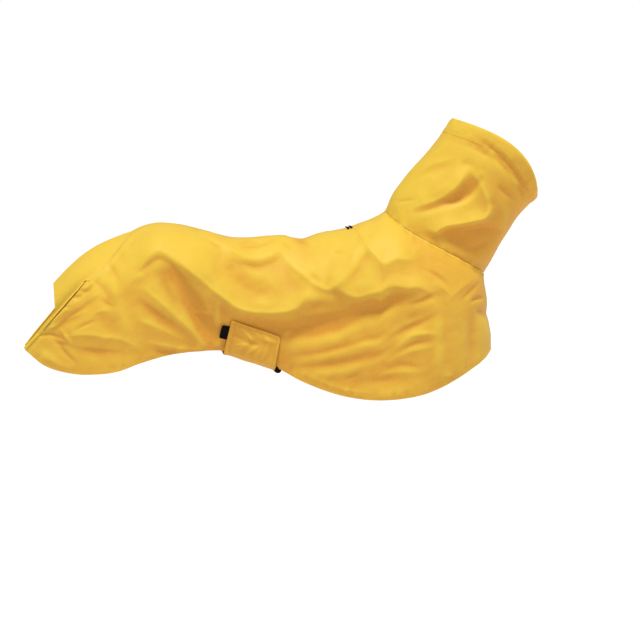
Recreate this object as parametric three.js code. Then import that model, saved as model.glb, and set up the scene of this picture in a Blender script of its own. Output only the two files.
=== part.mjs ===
// Raincoat for a long-bodied dog: a pull-on coat with a tall collar, a tail cover and a belly strap.
// Millimetres. +X points to the head, +Z up, and -Y is the dog's right side.
// The origin is on the inside of the cloth at the centre back, where the wearer's back carries the coat.
import * as THREE from 'three';

// Driving sizes
const CLOTH = 1.5;          // wall of the coat, the collar and the tail cover
const STRAP_CLOTH = 2.4;    // the belly strap is two layers of cloth
const CASING_CLOTH = 3;     // the rim's turned edge with the elastic in it
const SEAM_GAP = 0.3;       // left between two pieces where they are sewn or lie on each other
const HALF_SEAM = SEAM_GAP / 2;
const LAY_GAP = 0.7;        // under a piece that lies on the coat
const TAIL_SEAM_GAP = 0.8; // beside the tail cover's curved seam
const CASING_WIDTH = 16;    // turned edge along the collar's rim
const LABEL_WALL = 1;
const TAB_WALL = 2;
const BINDING_WIDTH = 2.4;  // tape round the rear edges beside the tail cover
const BINDING_WALL = 2.6;
const SLIT_LENGTH = 46;     // harness slit, measured across the back
const SLIT_LIP = 4.2;       // width of each of its two bound lips
const SLIT_WALL = 2;
const SLIT_X = 41;          // place of the slit along the back

// Mesh density
const TAIL_SEAM_COLUMNS = 8;     // columns of each half along the tail cover's seam
const BACK_COLUMNS = 24;         // along the centre back
const NECK_COLUMNS = 16;         // along the collar seam
const BODY_ROWS = 21;
const COLLAR_COLUMNS = 44;
const COLLAR_ROWS = 12;
const CASING_ROWS = 2;
const TAIL_COLUMNS = 9;
const STRAP_ACROSS = 5;

const YELLOW = 0xf2c04c;
const NEAR_BLACK = 0x14110f;

// Sections of the coat's right half, from the rear edge to the centre front. Each runs from its top
// (tail cover seam, centre back or collar seam) straight down to the hem in the side view. `wide` is its
// largest half width, at the share `level` of the way down, and it rounds down to there as an ellipse.
const SECTION_KEYS = ['topX', 'topZ', 'topY', 'hemX', 'hemZ', 'hemY', 'wide', 'level'];
const SECTIONS = [
  [-328, -60, 57, -412, -158, 20, 58, 0.10],
  [-310, -44, 52, -384, -179, 40, 63, 0.30],
  [-289, -25, 37, -350, -188, 60, 72, 0.42],
  [-262, 5, 0, -314, -190, 73, 80, 0.40],
  [-230, 16, 0, -284, -184, 79, 84, 0.32],
  [-198, 14, 0, -254, -173, 79, 84, 0.32],
  [-166, 7, 0, -220, -164, 73, 80, 0.35],
  [-133, -2, 0, -179, -158, 64, 73, 0.45],
  [-98, -4, 0, -137, -158, 56, 68, 0.57],
  [-63, -2, 0, -101, -169, 54, 67, 0.57],
  [-28, -5, 0, -65, -182, 57, 71, 0.54],
  [7, 2, 0, -32, -199, 65, 77, 0.42],
  [42, 10, 0, 2, -213, 75, 85, 0.38],
  [70, 19, 0, 33, -222, 82, 91, 0.36],
  [91, 31, 0, 63, -226, 86, 94, 0.36],
  [104, 18, 38, 91, -225, 87, 95, 0.38],
  [128, 1, 54, 119, -222, 85, 94, 0.38],
  [158, -15, 60, 147, -216, 80, 90, 0.36],
  [187, -31, 53, 178, -203, 70, 80, 0.38],
  [210, -44, 37, 205, -188, 54, 63, 0.40],
  [224, -52, 18, 228, -174, 31, 38, 0.40],
  [230, -56, 0, 241, -162, 0, 0, 0.40],
];
const BACK_TIP = 3;         // section where the tail cover seam meets the centre back
const NECK_BACK = 14;       // section where the collar seam meets the centre back
const NECK_FRONT = 21;      // section down the centre front

// Collar rings above its seam: back and front points on the centre line, half width, and how far the
// ring's side bows forwards and up out of the straight line between them, more to the back or the front.
const RING_KEYS = ['backX', 'backZ', 'frontX', 'frontZ', 'wide', 'bow', 'skew'];
const COLLAR_RINGS = [
  [105, 60, 246, -28, 60, -4, 0],
  [123, 85, 264, 3, 58, 2, 0],
  [151, 115, 284, 30, 58, 11, -2],
  [186, 161, 304, 50, 60, 27, -7],
];
const RING_HEIGHTS = [0, 0.24, 0.5, 0.75, 1];   // share of the collar's height of its seam and each ring

// Largest folds: a path of three points in the side view, half width of the fold and its height out of
// the cloth, less than zero for a trough.
const FOLD_KEYS = ['x1', 'z1', 'x2', 'z2', 'x3', 'z3', 'spread', 'height'];
const BODY_FOLDS = [
  [-173, 12, -138, -16, -92, -33, 15, 3.5],
  [-92, -33, -75, -27, -61, -19, 12, 2.5],
  [-61, -19, -33, -47, 9, -68, 15, 3.0],
  [-138, -44, -103, -72, -78, -72, 20, -4.0],
  [37, -86, 90, -78, 142, -72, 12, -3.5],
  [30, -80, 79, -75, 128, -63, 9, 4.0],
  [-68, -159, 9, -149, 79, -128, 14, 3.0],
  [-66, -177, 23, -166, 93, -145, 12, 2.5],
  [-61, -168, 16, -158, 107, -128, 10, -2.5],
  [93, -168, 114, -154, 159, -134, 12, -3.0],
  [30, -205, 107, -182, 132, -177, 14, -3.0],
  [-264, -65, -222, -100, -173, -145, 16, 4.0],
  [-229, -44, -194, -86, -152, -135, 18, -4.5],
  [-330, -86, -361, -112, -391, -134, 10, -3.0],
  [-375, -146, -352, -170, -344, -186, 10, -3.0],
  [188, -72, 205, -62, 219, -51, 9, -2.5],
  [48, -21, 59, -10, 93, -33, 14, 2.5],
  [-54, 3, -33, -5, -16, -14, 10, -2.0],
  [160, -142, 161, -168, 160, -198, 16, -2.5],
];
const COLLAR_FOLDS = [
  [101, 48, 150, 59, 185, 69, 10, 3.5],
  [201, 94, 216, 64, 229, 34, 9, 3.0],
  [122, 34, 164, 52, 188, 66, 8, -3.0],
  [195, 59, 209, 68, 218, 80, 10, -2.5],
  [108, 31, 164, 27, 229, 34, 9, 2.5],
  [164, 11, 206, 7, 241, -4, 12, -2.5],
  [108, 66, 150, 91, 185, 101, 9, -2.5],
  [122, 83, 154, 97, 181, 108, 7, 2.0],
  [143, 115, 157, 121, 171, 126, 7, -1.5],
];
const LEFT_FOLDS = { shiftX: 14, shiftZ: -7, share: 0.85 };   // how the hidden side's folds differ
const FOLD_FADE = 14;       // distance over which a fold dies out towards a seam

// Tail cover: the end of its top line, its hidden lower corner, and the arch of its top line
const TAIL_END = { x: -372, z: -68 };
const TAIL_CORNER = { x: -369, z: -119, y: 37 };
const TAIL_ARCH = 11;
const TAIL_STEP = { share: 0.12, depth: 5 };     // it dives under the side panel over this share
const TAIL_DELAY = { share: 0.34, width: 1.8 };  // and stays beside the panel's edge until it has dived

// Belly strap: its four corners in the side view, and how it passes under the hem
const STRAP_TOP = { rearX: -127, rearZ: -114, frontX: -59, frontZ: -139 };
const STRAP_FOLD = { rearX: -138, rearZ: -161, frontX: -67, frontZ: -187 };
const STRAP_SAG = 3;
const STRAP_FAR_LAP = 25;   // sewn to the left side over this height above the hem
const STRAP_TURN = 4;       // drop from the hem to the strap's underside

// Plain label in the strap's rear seam, and black hook-and-loop tab at its front lower corner
const LABEL = { x: -137.9, z: -131, width: 12, height: 19, tilt: -0.22 };
const TAB = { x: -62.3, z: -189.0, width: 9, height: 8, tilt: -0.5 };

const { lerp, clamp, smoothstep } = THREE.MathUtils;

function named(keys, values) {
  return Object.fromEntries(keys.map((key, index) => [key, values[index]]));
}

const sections = SECTIONS.map((values) => named(SECTION_KEYS, values));
const rings = COLLAR_RINGS.map((values) => named(RING_KEYS, values));
const bodyFolds = BODY_FOLDS.map((values) => named(FOLD_KEYS, values));
const collarFolds = COLLAR_FOLDS.map((values) => named(FOLD_KEYS, values));

function catmull(a, b, c, d, t) {
  const slope1 = (c - a) / 2;
  const slope2 = (d - b) / 2;
  return (2 * t ** 3 - 3 * t ** 2 + 1) * b + (t ** 3 - 2 * t ** 2 + t) * slope1
    + (3 * t ** 2 - 2 * t ** 3) * c + (t ** 3 - t ** 2) * slope2;
}

// Value of one column at the place s between the sections first and last. Where the line is mirrored past
// an end, the next value is the mirrored one, so that the cloth crosses the centre plane squarely.
function along(key, s, first, last, mirrored = {}) {
  const sign = key.endsWith('Y') || key === 'wide' ? -1 : 1;
  const value = (index) => {
    if (index < first) {
      const inner = sections[first + 1][key];
      return mirrored.first ? sign * inner : 2 * sections[first][key] - inner;
    }
    if (index > last) {
      const inner = sections[last - 1][key];
      return mirrored.last ? sign * inner : 2 * sections[last][key] - inner;
    }
    return sections[index][key];
  };
  const start = clamp(Math.floor(s), first, last - 1);
  return catmull(value(start - 1), value(start), value(start + 1), value(start + 2), s - start);
}

// Point of the coat's top line: tail cover seam, centre back, then collar seam
function topPoint(s) {
  let range = [0, BACK_TIP, { last: true }];
  if (s >= NECK_BACK) range = [NECK_BACK, NECK_FRONT, { first: true, last: true }];
  else if (s >= BACK_TIP) range = [BACK_TIP, NECK_BACK, {}];
  const [x, y, z] = ['topX', 'topY', 'topZ'].map((key) => along(key, s, ...range));
  return new THREE.Vector3(x, -Math.max(y, 0), z);
}

function hemPoint(s) {
  const [x, y, z] = ['hemX', 'hemY', 'hemZ'].map((key) => along(key, s, 0, NECK_FRONT, { last: true }));
  return new THREE.Vector3(x, -Math.max(y, 0), z);
}

// Point of the coat's right half before folds, at the share h of the way from its top line to its hem
function basePoint(s, h) {
  const top = topPoint(s);
  const hem = hemPoint(s);
  const [wide, level] = ['wide', 'level'].map((key) => along(key, s, 0, NECK_FRONT, { last: true }));
  const point = new THREE.Vector3().lerpVectors(top, hem, h);
  if (h < level) {
    const topShare = wide > 0 ? clamp(-top.y / wide, 0, 1) : 0;
    const cosine = Math.sqrt(1 - topShare ** 2) * (1 - h / level);
    point.y = -Math.max(wide, 0) * Math.sqrt(1 - cosine ** 2);
  } else {
    point.y = lerp(-wide, hem.y, 1 - Math.cos((h - level) / (1 - level) * Math.PI / 2));
  }
  return point;
}

function baseNormal(s, h) {
  const step = 0.02;
  const low = Math.max(h - step, 0.004);
  const high = Math.min(h + step, 1);
  const rear = Math.max(s - step, 0);
  const front = Math.min(s + step, NECK_FRONT);
  const forwards = basePoint(front, h).sub(basePoint(rear, h));
  const downwards = basePoint(s, high).sub(basePoint(s, low));
  return new THREE.Vector3().crossVectors(downwards, forwards).normalize();
}

// Nearest point of a fold's path: distance to it and share of its length
function nearestOnFold(fold, x, z) {
  const path = [[fold.x1, fold.z1], [fold.x2, fold.z2], [fold.x3, fold.z3]];
  let best = { distance: Infinity, share: 0 };
  for (let leg = 0; leg < 2; leg += 1) {
    const [fromX, fromZ] = path[leg];
    const [toX, toZ] = path[leg + 1];
    const length = Math.hypot(toX - fromX, toZ - fromZ);
    const along01 = ((x - fromX) * (toX - fromX) + (z - fromZ) * (toZ - fromZ)) / length ** 2;
    const t = clamp(along01, 0, 1);
    const distance = Math.hypot(x - lerp(fromX, toX, t), z - lerp(fromZ, toZ, t));
    if (distance < best.distance) best = { distance, share: (leg + t) / 2 };
  }
  return best;
}

function foldHeight(folds, x, z, side) {
  const left = side > 0;
  const shiftX = left ? LEFT_FOLDS.shiftX : 0;
  const shiftZ = left ? LEFT_FOLDS.shiftZ : 0;
  let height = 0;
  for (const fold of folds) {
    const { distance, share } = nearestOnFold(fold, x - shiftX, z - shiftZ);
    const ends = Math.sin(Math.PI * lerp(0.12, 0.88, share));
    height += fold.height * ends * Math.exp(-((distance / fold.spread) ** 2));
  }
  return left ? height * LEFT_FOLDS.share : height;
}

// Outer face of the coat and its normal; side is -1 for the right half and 1 for the left
function bodyPoint(s, h, side, out = 0) {
  const point = basePoint(s, h);
  const normal = baseNormal(s, h);
  const drop = topPoint(s).distanceTo(point);
  const frontFade = smoothstep(NECK_FRONT - s, 0, 1);
  const fade = smoothstep(drop, 0, FOLD_FADE) * frontFade;
  const height = foldHeight(bodyFolds, point.x, point.z, side) * fade;
  point.addScaledVector(normal, height + out);
  point.y = Math.min(point.y, -HALF_SEAM);
  const inner = point.clone().addScaledVector(normal, -CLOTH);
  inner.y = Math.min(inner.y, -HALF_SEAM);
  return sided(point, inner, normal, side);
}

function sided(outer, inner, normal, side) {
  const mirror = new THREE.Vector3(1, -side, 1);
  return { outer: outer.multiply(mirror), inner: inner.multiply(mirror), normal: normal.multiply(mirror) };
}

// Shares of the way down at which a section is cut into even lengths
function evenShares(s, count) {
  const samples = 60;
  const shares = [];
  const lengths = [];
  let previous = null;
  for (let index = 0; index <= samples; index += 1) {
    const share = (index / samples) ** 1.8;
    const point = basePoint(s, share);
    lengths.push(previous ? lengths.at(-1) + point.distanceTo(previous) : 0);
    shares.push(share);
    previous = point;
  }
  return evenSteps(lengths, count).map((place) => lerp(
    shares[Math.floor(place)], shares[Math.min(Math.floor(place) + 1, samples)], place % 1));
}

// Places along a list of growing lengths, in list positions, that cut it into count even steps
function evenSteps(lengths, count) {
  const total = lengths.at(-1);
  const places = [];
  let index = 0;
  for (let step = 0; step <= count; step += 1) {
    const target = total * step / count;
    while (index < lengths.length - 2 && lengths[index + 1] < target) index += 1;
    const span = lengths[index + 1] - lengths[index];
    places.push(clamp(index + (target - lengths[index]) / span, 0, lengths.length - 1));
  }
  return places;
}

// Closed wall from a grid of cells, each with an outer and an inner point. A looped grid has no first and
// last column of its own.
function wallMesh(name, colour, grid, looped = false) {
  const columns = grid.length;
  const rows = grid[0].length;
  const positions = [];
  for (const face of ['outer', 'inner']) {
    for (const column of grid) {
      for (const cell of column) positions.push(...cell[face].toArray());
    }
  }
  const at = (layer, column, row) => layer * columns * rows + (column % columns) * rows + row;
  const triangles = [];
  const quad = (a, b, c, d) => triangles.push(a, b, c, a, c, d);
  const lastColumn = looped ? columns : columns - 1;
  for (let i = 0; i < lastColumn; i += 1) {
    for (let j = 0; j < rows - 1; j += 1) {
      quad(at(0, i, j), at(0, i + 1, j), at(0, i + 1, j + 1), at(0, i, j + 1));
      quad(at(1, i, j), at(1, i, j + 1), at(1, i + 1, j + 1), at(1, i + 1, j));
    }
    quad(at(0, i, 0), at(1, i, 0), at(1, i + 1, 0), at(0, i + 1, 0));
    quad(at(0, i, rows - 1), at(0, i + 1, rows - 1), at(1, i + 1, rows - 1), at(1, i, rows - 1));
  }
  if (!looped) {
    for (let j = 0; j < rows - 1; j += 1) {
      const end = columns - 1;
      quad(at(0, 0, j), at(0, 0, j + 1), at(1, 0, j + 1), at(1, 0, j));
      quad(at(0, end, j), at(1, end, j), at(1, end, j + 1), at(0, end, j + 1));
    }
  }
  if (signedVolume(positions, triangles) < 0) {
    for (let k = 0; k < triangles.length; k += 3) {
      [triangles[k + 1], triangles[k + 2]] = [triangles[k + 2], triangles[k + 1]];
    }
  }
  const geometry = new THREE.BufferGeometry();
  geometry.setAttribute('position', new THREE.Float32BufferAttribute(positions, 3));
  geometry.setIndex(triangles);
  geometry.computeVertexNormals();
  const material = new THREE.MeshStandardMaterial({ color: colour, roughness: 0.55, metalness: 0 });
  const mesh = new THREE.Mesh(geometry, material);
  mesh.name = name;
  return mesh;
}

function signedVolume(positions, triangles) {
  const corner = (index) => new THREE.Vector3().fromArray(positions, index * 3);
  let volume = 0;
  for (let k = 0; k < triangles.length; k += 3) {
    const [a, b, c] = [corner(triangles[k]), corner(triangles[k + 1]), corner(triangles[k + 2])];
    volume += a.dot(b.cross(c)) / 6;
  }
  return volume;
}

// Places of the columns: even along each of the three seams of the top line
function columnPlaces() {
  const places = [0];
  const stretches = [
    [0, BACK_TIP, TAIL_SEAM_COLUMNS],
    [BACK_TIP, NECK_BACK, BACK_COLUMNS],
    [NECK_BACK, NECK_FRONT, NECK_COLUMNS],
  ];
  for (const [from, to, count] of stretches) {
    for (let i = 1; i <= count; i += 1) places.push(lerp(from, to, i / count));
  }
  return places;
}

// One half of the coat, from the rear edge to the centre front and from its top line to the hem
function bodyHalf(name, side) {
  const grid = columnPlaces().map((s) => (
    evenShares(s, BODY_ROWS).map((h) => bodyPoint(s, h, side))));
  return wallMesh(name, YELLOW, grid);
}

// Right half of a collar ring, from its back point to its front point, in even steps
function ringHalf(ring, count) {
  const samples = 48;
  const back = new THREE.Vector3(ring.backX, 0, ring.backZ);
  const front = new THREE.Vector3(ring.frontX, 0, ring.frontZ);
  const chord = front.clone().sub(back);
  const lean = new THREE.Vector3(-chord.z, 0, chord.x).normalize();
  const points = [];
  for (let index = 0; index <= samples; index += 1) {
    const angle = Math.PI * index / samples;
    const point = back.clone().addScaledVector(chord, (1 - Math.cos(angle)) / 2);
    const bow = ring.bow + ring.skew * Math.cos(angle);
    point.addScaledVector(lean, bow * Math.sin(angle) ** 2);
    point.y = -ring.wide * Math.sin(angle);
    points.push(point);
  }
  return evenPoints(points, count);
}

function evenPoints(points, count) {
  const lengths = [0];
  for (let index = 1; index < points.length; index += 1) {
    lengths.push(lengths.at(-1) + points[index].distanceTo(points[index - 1]));
  }
  return evenSteps(lengths, count).map((place) => {
    const index = Math.min(Math.floor(place), points.length - 2);
    return points[index].clone().lerp(points[index + 1], place - index);
  });
}

function neckSeamHalf(count) {
  const samples = 70;
  const points = [];
  for (let index = 0; index <= samples; index += 1) {
    points.push(topPoint(lerp(NECK_BACK, NECK_FRONT, index / samples)));
  }
  return evenPoints(points, count);
}

const collarHalfSteps = COLLAR_COLUMNS / 2;
const collarLines = [neckSeamHalf(collarHalfSteps), ...rings.map((ring) => ringHalf(ring, collarHalfSteps))];

// Point of the collar before folds: column round the ring, and share of its height from seam to rim
function collarBase(column, height) {
  const last = RING_HEIGHTS.length - 1;
  let start = 0;
  while (start < last - 1 && RING_HEIGHTS[start + 1] < height) start += 1;
  const mirroredColumn = column > collarHalfSteps ? COLLAR_COLUMNS - column : column;
  const point = (index) => {
    if (index < 0) return point(0).multiplyScalar(2).sub(point(1));
    if (index > last) return point(last).multiplyScalar(2).sub(point(last - 1));
    return collarLines[index][mirroredColumn].clone();
  };
  const t = (height - RING_HEIGHTS[start]) / (RING_HEIGHTS[start + 1] - RING_HEIGHTS[start]);
  const near = [start - 1, start, start + 1, start + 2].map(point);
  const place = new THREE.Vector3(
    ...['x', 'y', 'z'].map((axis) => catmull(...near.map((corner) => corner[axis]), t)));
  if (column > collarHalfSteps) place.y = -place.y;
  return place;
}

function collarPoint(column, height, wall, out = 0) {
  const around = (step) => (column + step + COLLAR_COLUMNS) % COLLAR_COLUMNS;
  const point = collarBase(column, height);
  const forwards = collarBase(around(1), height).sub(collarBase(around(-1), height));
  const upwards = collarBase(column, Math.min(height + 0.02, 1));
  upwards.sub(collarBase(column, Math.max(height - 0.02, 0)));
  const normal = new THREE.Vector3().crossVectors(forwards, upwards).normalize();
  const side = Math.sign(point.y) || -1;
  const widest = 52;
  const sideShare = smoothstep(Math.abs(point.y), 0, widest);
  const seamFade = smoothstep(height, 0.02, 0.14) * (1 - smoothstep(height, 0.8, 0.9));
  const fold = foldHeight(collarFolds, point.x, point.z, side) * sideShare * seamFade;
  point.addScaledVector(normal, fold + out);
  return { outer: point, inner: point.clone().addScaledVector(normal, -wall), normal };
}

// Share of the collar's height that a length along its side takes
const collarSide = Math.round(collarHalfSteps / 2);
const collarHeight = collarLines.slice(1).reduce(
  (sum, line, index) => sum + line[collarSide].distanceTo(collarLines[index][collarSide]), 0);
const casingStart = 1 - CASING_WIDTH / collarHeight;
const gapShare = SEAM_GAP / collarHeight;

function collarBand(name, from, to, rows, wall, out) {
  const grid = [];
  for (let column = 0; column < COLLAR_COLUMNS; column += 1) {
    const line = [];
    for (let row = 0; row <= rows; row += 1) {
      line.push(collarPoint(column, lerp(from, to, row / rows), wall, out));
    }
    grid.push(line);
  }
  return wallMesh(name, YELLOW, grid, true);
}

// Edge of the tail cover beside its seam with the coat, at a place along the coat's top line
function tailSeam(s) {
  const step = 0.05;
  const seam = topPoint(s);
  const forwards = topPoint(Math.min(s + step, BACK_TIP)).sub(topPoint(Math.max(s - step, 0)));
  const rearwards = new THREE.Vector3().crossVectors(forwards, baseNormal(s, 0)).normalize();
  if (rearwards.x > 0) rearwards.negate();
  return seam.addScaledVector(rearwards, TAIL_SEAM_GAP);
}

// Tail cover: across is -1 at the right edge, 0 on the centre back and 1 at the left edge, and back is 0
// at its seam with the coat and 1 at its free end.
function tailPoint(across, back) {
  const v = Math.abs(across);
  const seam = tailSeam(lerp(BACK_TIP, 0, v));
  const endAngle = v * Math.PI / 2;
  const end = new THREE.Vector3(
    lerp(TAIL_END.x, TAIL_CORNER.x, 1 - Math.cos(endAngle)),
    -TAIL_CORNER.y * Math.sin(endAngle),
    lerp(TAIL_END.z, TAIL_CORNER.z, 1 - Math.cos(endAngle)));
  const point = seam.clone().lerp(end, back);
  const arch = TAIL_ARCH * Math.sin(Math.PI * back) * Math.cos(endAngle);
  point.x -= arch * 0.5;
  point.z += arch * 0.85;
  point.y += TAIL_STEP.depth * smoothstep(back, 0, TAIL_STEP.share) * smoothstep(v, 0.55, 0.95);
  const delay = TAIL_DELAY.width * Math.sin(Math.PI * Math.min(back / TAIL_DELAY.share, 1)) * v ** 3;
  point.x -= delay;
  point.z += delay;
  if (across > 0) point.y = -point.y;
  return point;
}

function tailCover(name) {
  const seamShare = 0.15;
  const rows = 2 * TAIL_SEAM_COLUMNS;
  const grid = [];
  for (let i = 0; i <= TAIL_COLUMNS; i += 1) {
    const back = (i / TAIL_COLUMNS) ** 1.3;
    const line = [];
    for (let j = 0; j <= rows; j += 1) {
      const across = lerp(-1, 1, j / rows);
      const step = 0.03;
      const outer = tailPoint(across, back);
      const rearwards = tailPoint(across, Math.min(back + step, 1));
      rearwards.sub(tailPoint(across, Math.max(back - step, 0)));
      const sideways = tailPoint(Math.min(across + step, 1), back);
      sideways.sub(tailPoint(Math.max(across - step, -1), back));
      const normal = new THREE.Vector3().crossVectors(sideways, rearwards).normalize();
      const coatNormal = baseNormal(lerp(BACK_TIP, 0, Math.abs(across)), 0);
      coatNormal.y *= -Math.sign(across);
      normal.lerp(coatNormal, 1 - smoothstep(back, 0, seamShare)).normalize();
      line.push({ outer, inner: outer.clone().addScaledVector(normal, -CLOTH) });
    }
    grid.push(line);
  }
  return wallMesh(name, YELLOW, grid);
}

// Section and share of the way down at which the coat passes a point of the side view
function panelPlace(x, z) {
  const offLine = (s) => {
    const top = topPoint(s);
    const hem = hemPoint(s);
    return (hem.x - top.x) * (z - top.z) - (hem.z - top.z) * (x - top.x);
  };
  let low = 0;
  let high = NECK_FRONT;
  const rearSign = Math.sign(offLine(low));
  for (let step = 0; step < 40; step += 1) {
    const middle = (low + high) / 2;
    if (Math.sign(offLine(middle)) === rearSign) low = middle;
    else high = middle;
  }
  const top = topPoint(low);
  const hem = hemPoint(low);
  return { s: low, h: (z - top.z) / (hem.z - top.z) };
}

// Cell of a flat piece that lies on the coat's outer face
function cellOnPanel(x, z, side, wall) {
  const { s, h } = panelPlace(x, z);
  const lift = bodyPoint(s, h, side, LAY_GAP + wall);
  const seat = bodyPoint(s, h, side, LAY_GAP);
  return { outer: lift.outer, inner: seat.outer };
}

// Belly strap: from its closed end on the right side, under the belly, to its seam on the left side
function bellyStrap(name) {
  const grid = [];
  for (let i = 0; i <= STRAP_ACROSS; i += 1) {
    const w = i / STRAP_ACROSS;
    const topX = lerp(STRAP_TOP.rearX, STRAP_TOP.frontX, w);
    const topZ = lerp(STRAP_TOP.rearZ, STRAP_TOP.frontZ, w);
    const foldX = lerp(STRAP_FOLD.rearX, STRAP_FOLD.frontX, w);
    const foldZ = lerp(STRAP_FOLD.rearZ, STRAP_FOLD.frontZ, w);
    const onPanel = 5;
    const line = [];
    const hemShare = strapShareAtHem(topX, topZ, foldX, foldZ);
    for (let k = 0; k <= onPanel; k += 1) {
      const share = hemShare * k / onPanel;
      line.push(cellOnPanel(lerp(topX, foldX, share), lerp(topZ, foldZ, share), -1, STRAP_CLOTH));
    }
    const farShare = clamp(1 - STRAP_FAR_LAP / Math.hypot(topX - foldX, topZ - foldZ), 0, hemShare);
    const farHem = cellOnPanel(lerp(topX, foldX, hemShare), lerp(topZ, foldZ, hemShare), 1, STRAP_CLOTH);
    const farTop = cellOnPanel(lerp(topX, foldX, farShare), lerp(topZ, foldZ, farShare), 1, STRAP_CLOTH);
    const under = underBelly(line.at(-1), farHem);
    line.push(...under, farHem, farTop);
    grid.push(line);
  }
  return wallMesh(name, YELLOW, grid);
}

// Share of a strap line's length at which it reaches the coat's hem
function strapShareAtHem(topX, topZ, foldX, foldZ) {
  let share = 1;
  while (panelPlace(lerp(topX, foldX, share), lerp(topZ, foldZ, share)).h > 0.995) share -= 0.005;
  return share;
}

// Cells of the strap from the right hem round under the belly to the left hem
function underBelly(rightHem, leftHem) {
  const cells = [];
  const steps = 8;
  for (let k = 0; k <= steps; k += 1) {
    const share = k / steps;
    const turn = Math.min(share, 1 - share) * steps;
    const drop = STRAP_TURN * Math.min(1, 0.72 + turn * 0.28);
    const inset = turn === 0 ? 0.6 : 0;
    const low = rightHem.inner.clone().lerp(leftHem.inner, share);
    const sag = STRAP_SAG * Math.sin(Math.PI * share);
    const side = Math.sign(low.y);
    const inner = low.clone();
    inner.z -= drop + sag;
    inner.y -= side * inset;
    const outer = inner.clone();
    outer.z -= STRAP_CLOTH * (turn === 0 ? 0.75 : 1);
    outer.y += turn === 0 ? side * STRAP_CLOTH * 0.75 : 0;
    cells.push({ outer, inner });
  }
  return cells;
}

// Rounded flat piece on the coat, given by its centre, size and tilt in the side view
function patchOnPanel(name, colour, patch, wall, cellAt) {
  const grid = [];
  const columns = 4;
  const rows = 4;
  const corner = 0.14;
  for (let i = 0; i <= columns; i += 1) {
    const line = [];
    for (let j = 0; j <= rows; j += 1) {
      const a = lerp(-1, 1, i / columns);
      const b = lerp(-1, 1, j / rows);
      const round = 1 - corner * a * a * b * b;
      const across = a * round * patch.width / 2;
      const up = b * round * patch.height / 2;
      const x = patch.x + across * Math.cos(patch.tilt) - up * Math.sin(patch.tilt);
      const z = patch.z + across * Math.sin(patch.tilt) + up * Math.cos(patch.tilt);
      line.push(cellAt(x, z, wall));
    }
    grid.push(line);
  }
  return wallMesh(name, colour, grid);
}

// The tab hangs below the hem, level with the strap, so it lies in an upright plane
function tabCell(x, z, wall) {
  const { s } = panelPlace(TAB.x, TAB.z + TAB.height);
  const hemY = hemPoint(s).y - SEAM_GAP - STRAP_CLOTH / 2;
  const outer = new THREE.Vector3(x, hemY - wall / 2, z);
  return { outer, inner: new THREE.Vector3(x, hemY + wall / 2, z) };
}

// Two bound lips of the shut harness slit, across the centre back
function slitLip(name, x) {
  const grid = [];
  const across = 14;
  const ends = 0.35;
  for (let i = 0; i <= across; i += 1) {
    const along01 = lerp(-1, 1, i / across);
    const half = SLIT_LIP / 2 * lerp(1, ends, along01 ** 6);
    const line = [x - half, x, x + half].map((lipX, column) => {
      const side = along01 < 0 ? -1 : 1;
      const cell = backCell(lipX, Math.abs(along01) * SLIT_LENGTH / 2, side);
      const crown = column === 1 ? SLIT_WALL : SLIT_WALL * 0.6;
      const outer = cell.outer.clone().addScaledVector(cell.normal, SEAM_GAP + crown);
      return { outer, inner: cell.outer.clone().addScaledVector(cell.normal, SEAM_GAP) };
    });
    grid.push(line);
  }
  return wallMesh(name, NEAR_BLACK, grid);
}

// Outer face of the coat at a place along the back and a distance out from the centre line
function backCell(x, distance, side) {
  let rear = BACK_TIP;
  let front = NECK_BACK;
  for (let step = 0; step < 30; step += 1) {
    const middle = (rear + front) / 2;
    if (topPoint(middle).x < x) rear = middle;
    else front = middle;
  }
  const s = rear;
  let h = 0;
  while (Math.abs(basePoint(s, h).y) < distance) h += 0.0004;
  const cell = bodyPoint(s, h, side);
  if (distance === 0) {
    cell.outer.y = 0;
    cell.normal.y = 0;
    cell.normal.normalize();
  }
  return cell;
}

// Tape along the free rear edge of a side panel, from the tail cover's seam to the rear corner
function edgeBinding(name, side) {
  const grid = [];
  const steps = 14;
  for (let i = 0; i <= steps; i += 1) {
    const h = lerp(0.05, 0.985, i / steps);
    const { outer, inner, normal } = bodyPoint(0, h, side);
    const ahead = bodyPoint(0.2, h, side).outer;
    const rearwards = outer.clone().sub(ahead).normalize();
    const spare = (BINDING_WALL - CLOTH) / 2;
    const near = outer.clone().addScaledVector(rearwards, LAY_GAP).addScaledVector(normal, spare);
    const nearIn = inner.clone().addScaledVector(rearwards, LAY_GAP).addScaledVector(normal, -spare);
    const far = near.clone().addScaledVector(rearwards, BINDING_WIDTH);
    const farIn = nearIn.clone().addScaledVector(rearwards, BINDING_WIDTH);
    grid.push([{ outer: near, inner: nearIn }, { outer: far, inner: farIn }]);
  }
  return wallMesh(name, NEAR_BLACK, grid);
}

const coat = new THREE.Group();
coat.name = 'dog_raincoat';
coat.add(
  bodyHalf('body_right', -1),
  bodyHalf('body_left', 1),
  collarBand('collar', 2 * gapShare, casingStart, COLLAR_ROWS, CLOTH, 0),
  collarBand('collar_rim_casing', casingStart + gapShare, 1, CASING_ROWS, CASING_CLOTH, 0.8),
  tailCover('tail_cover'),
  bellyStrap('belly_strap'),
  patchOnPanel('strap_label', NEAR_BLACK, LABEL, LABEL_WALL, (x, z, wall) => cellOnPanel(x, z, -1, wall)),
  patchOnPanel('strap_tab', NEAR_BLACK, TAB, TAB_WALL, tabCell),
  slitLip('harness_slit_lip_rear', SLIT_X - SLIT_LIP / 2 - HALF_SEAM),
  slitLip('harness_slit_lip_front', SLIT_X + SLIT_LIP / 2 + HALF_SEAM),
  edgeBinding('rear_binding_right', -1),
  edgeBinding('rear_binding_left', 1),
);

export default coat;
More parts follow.
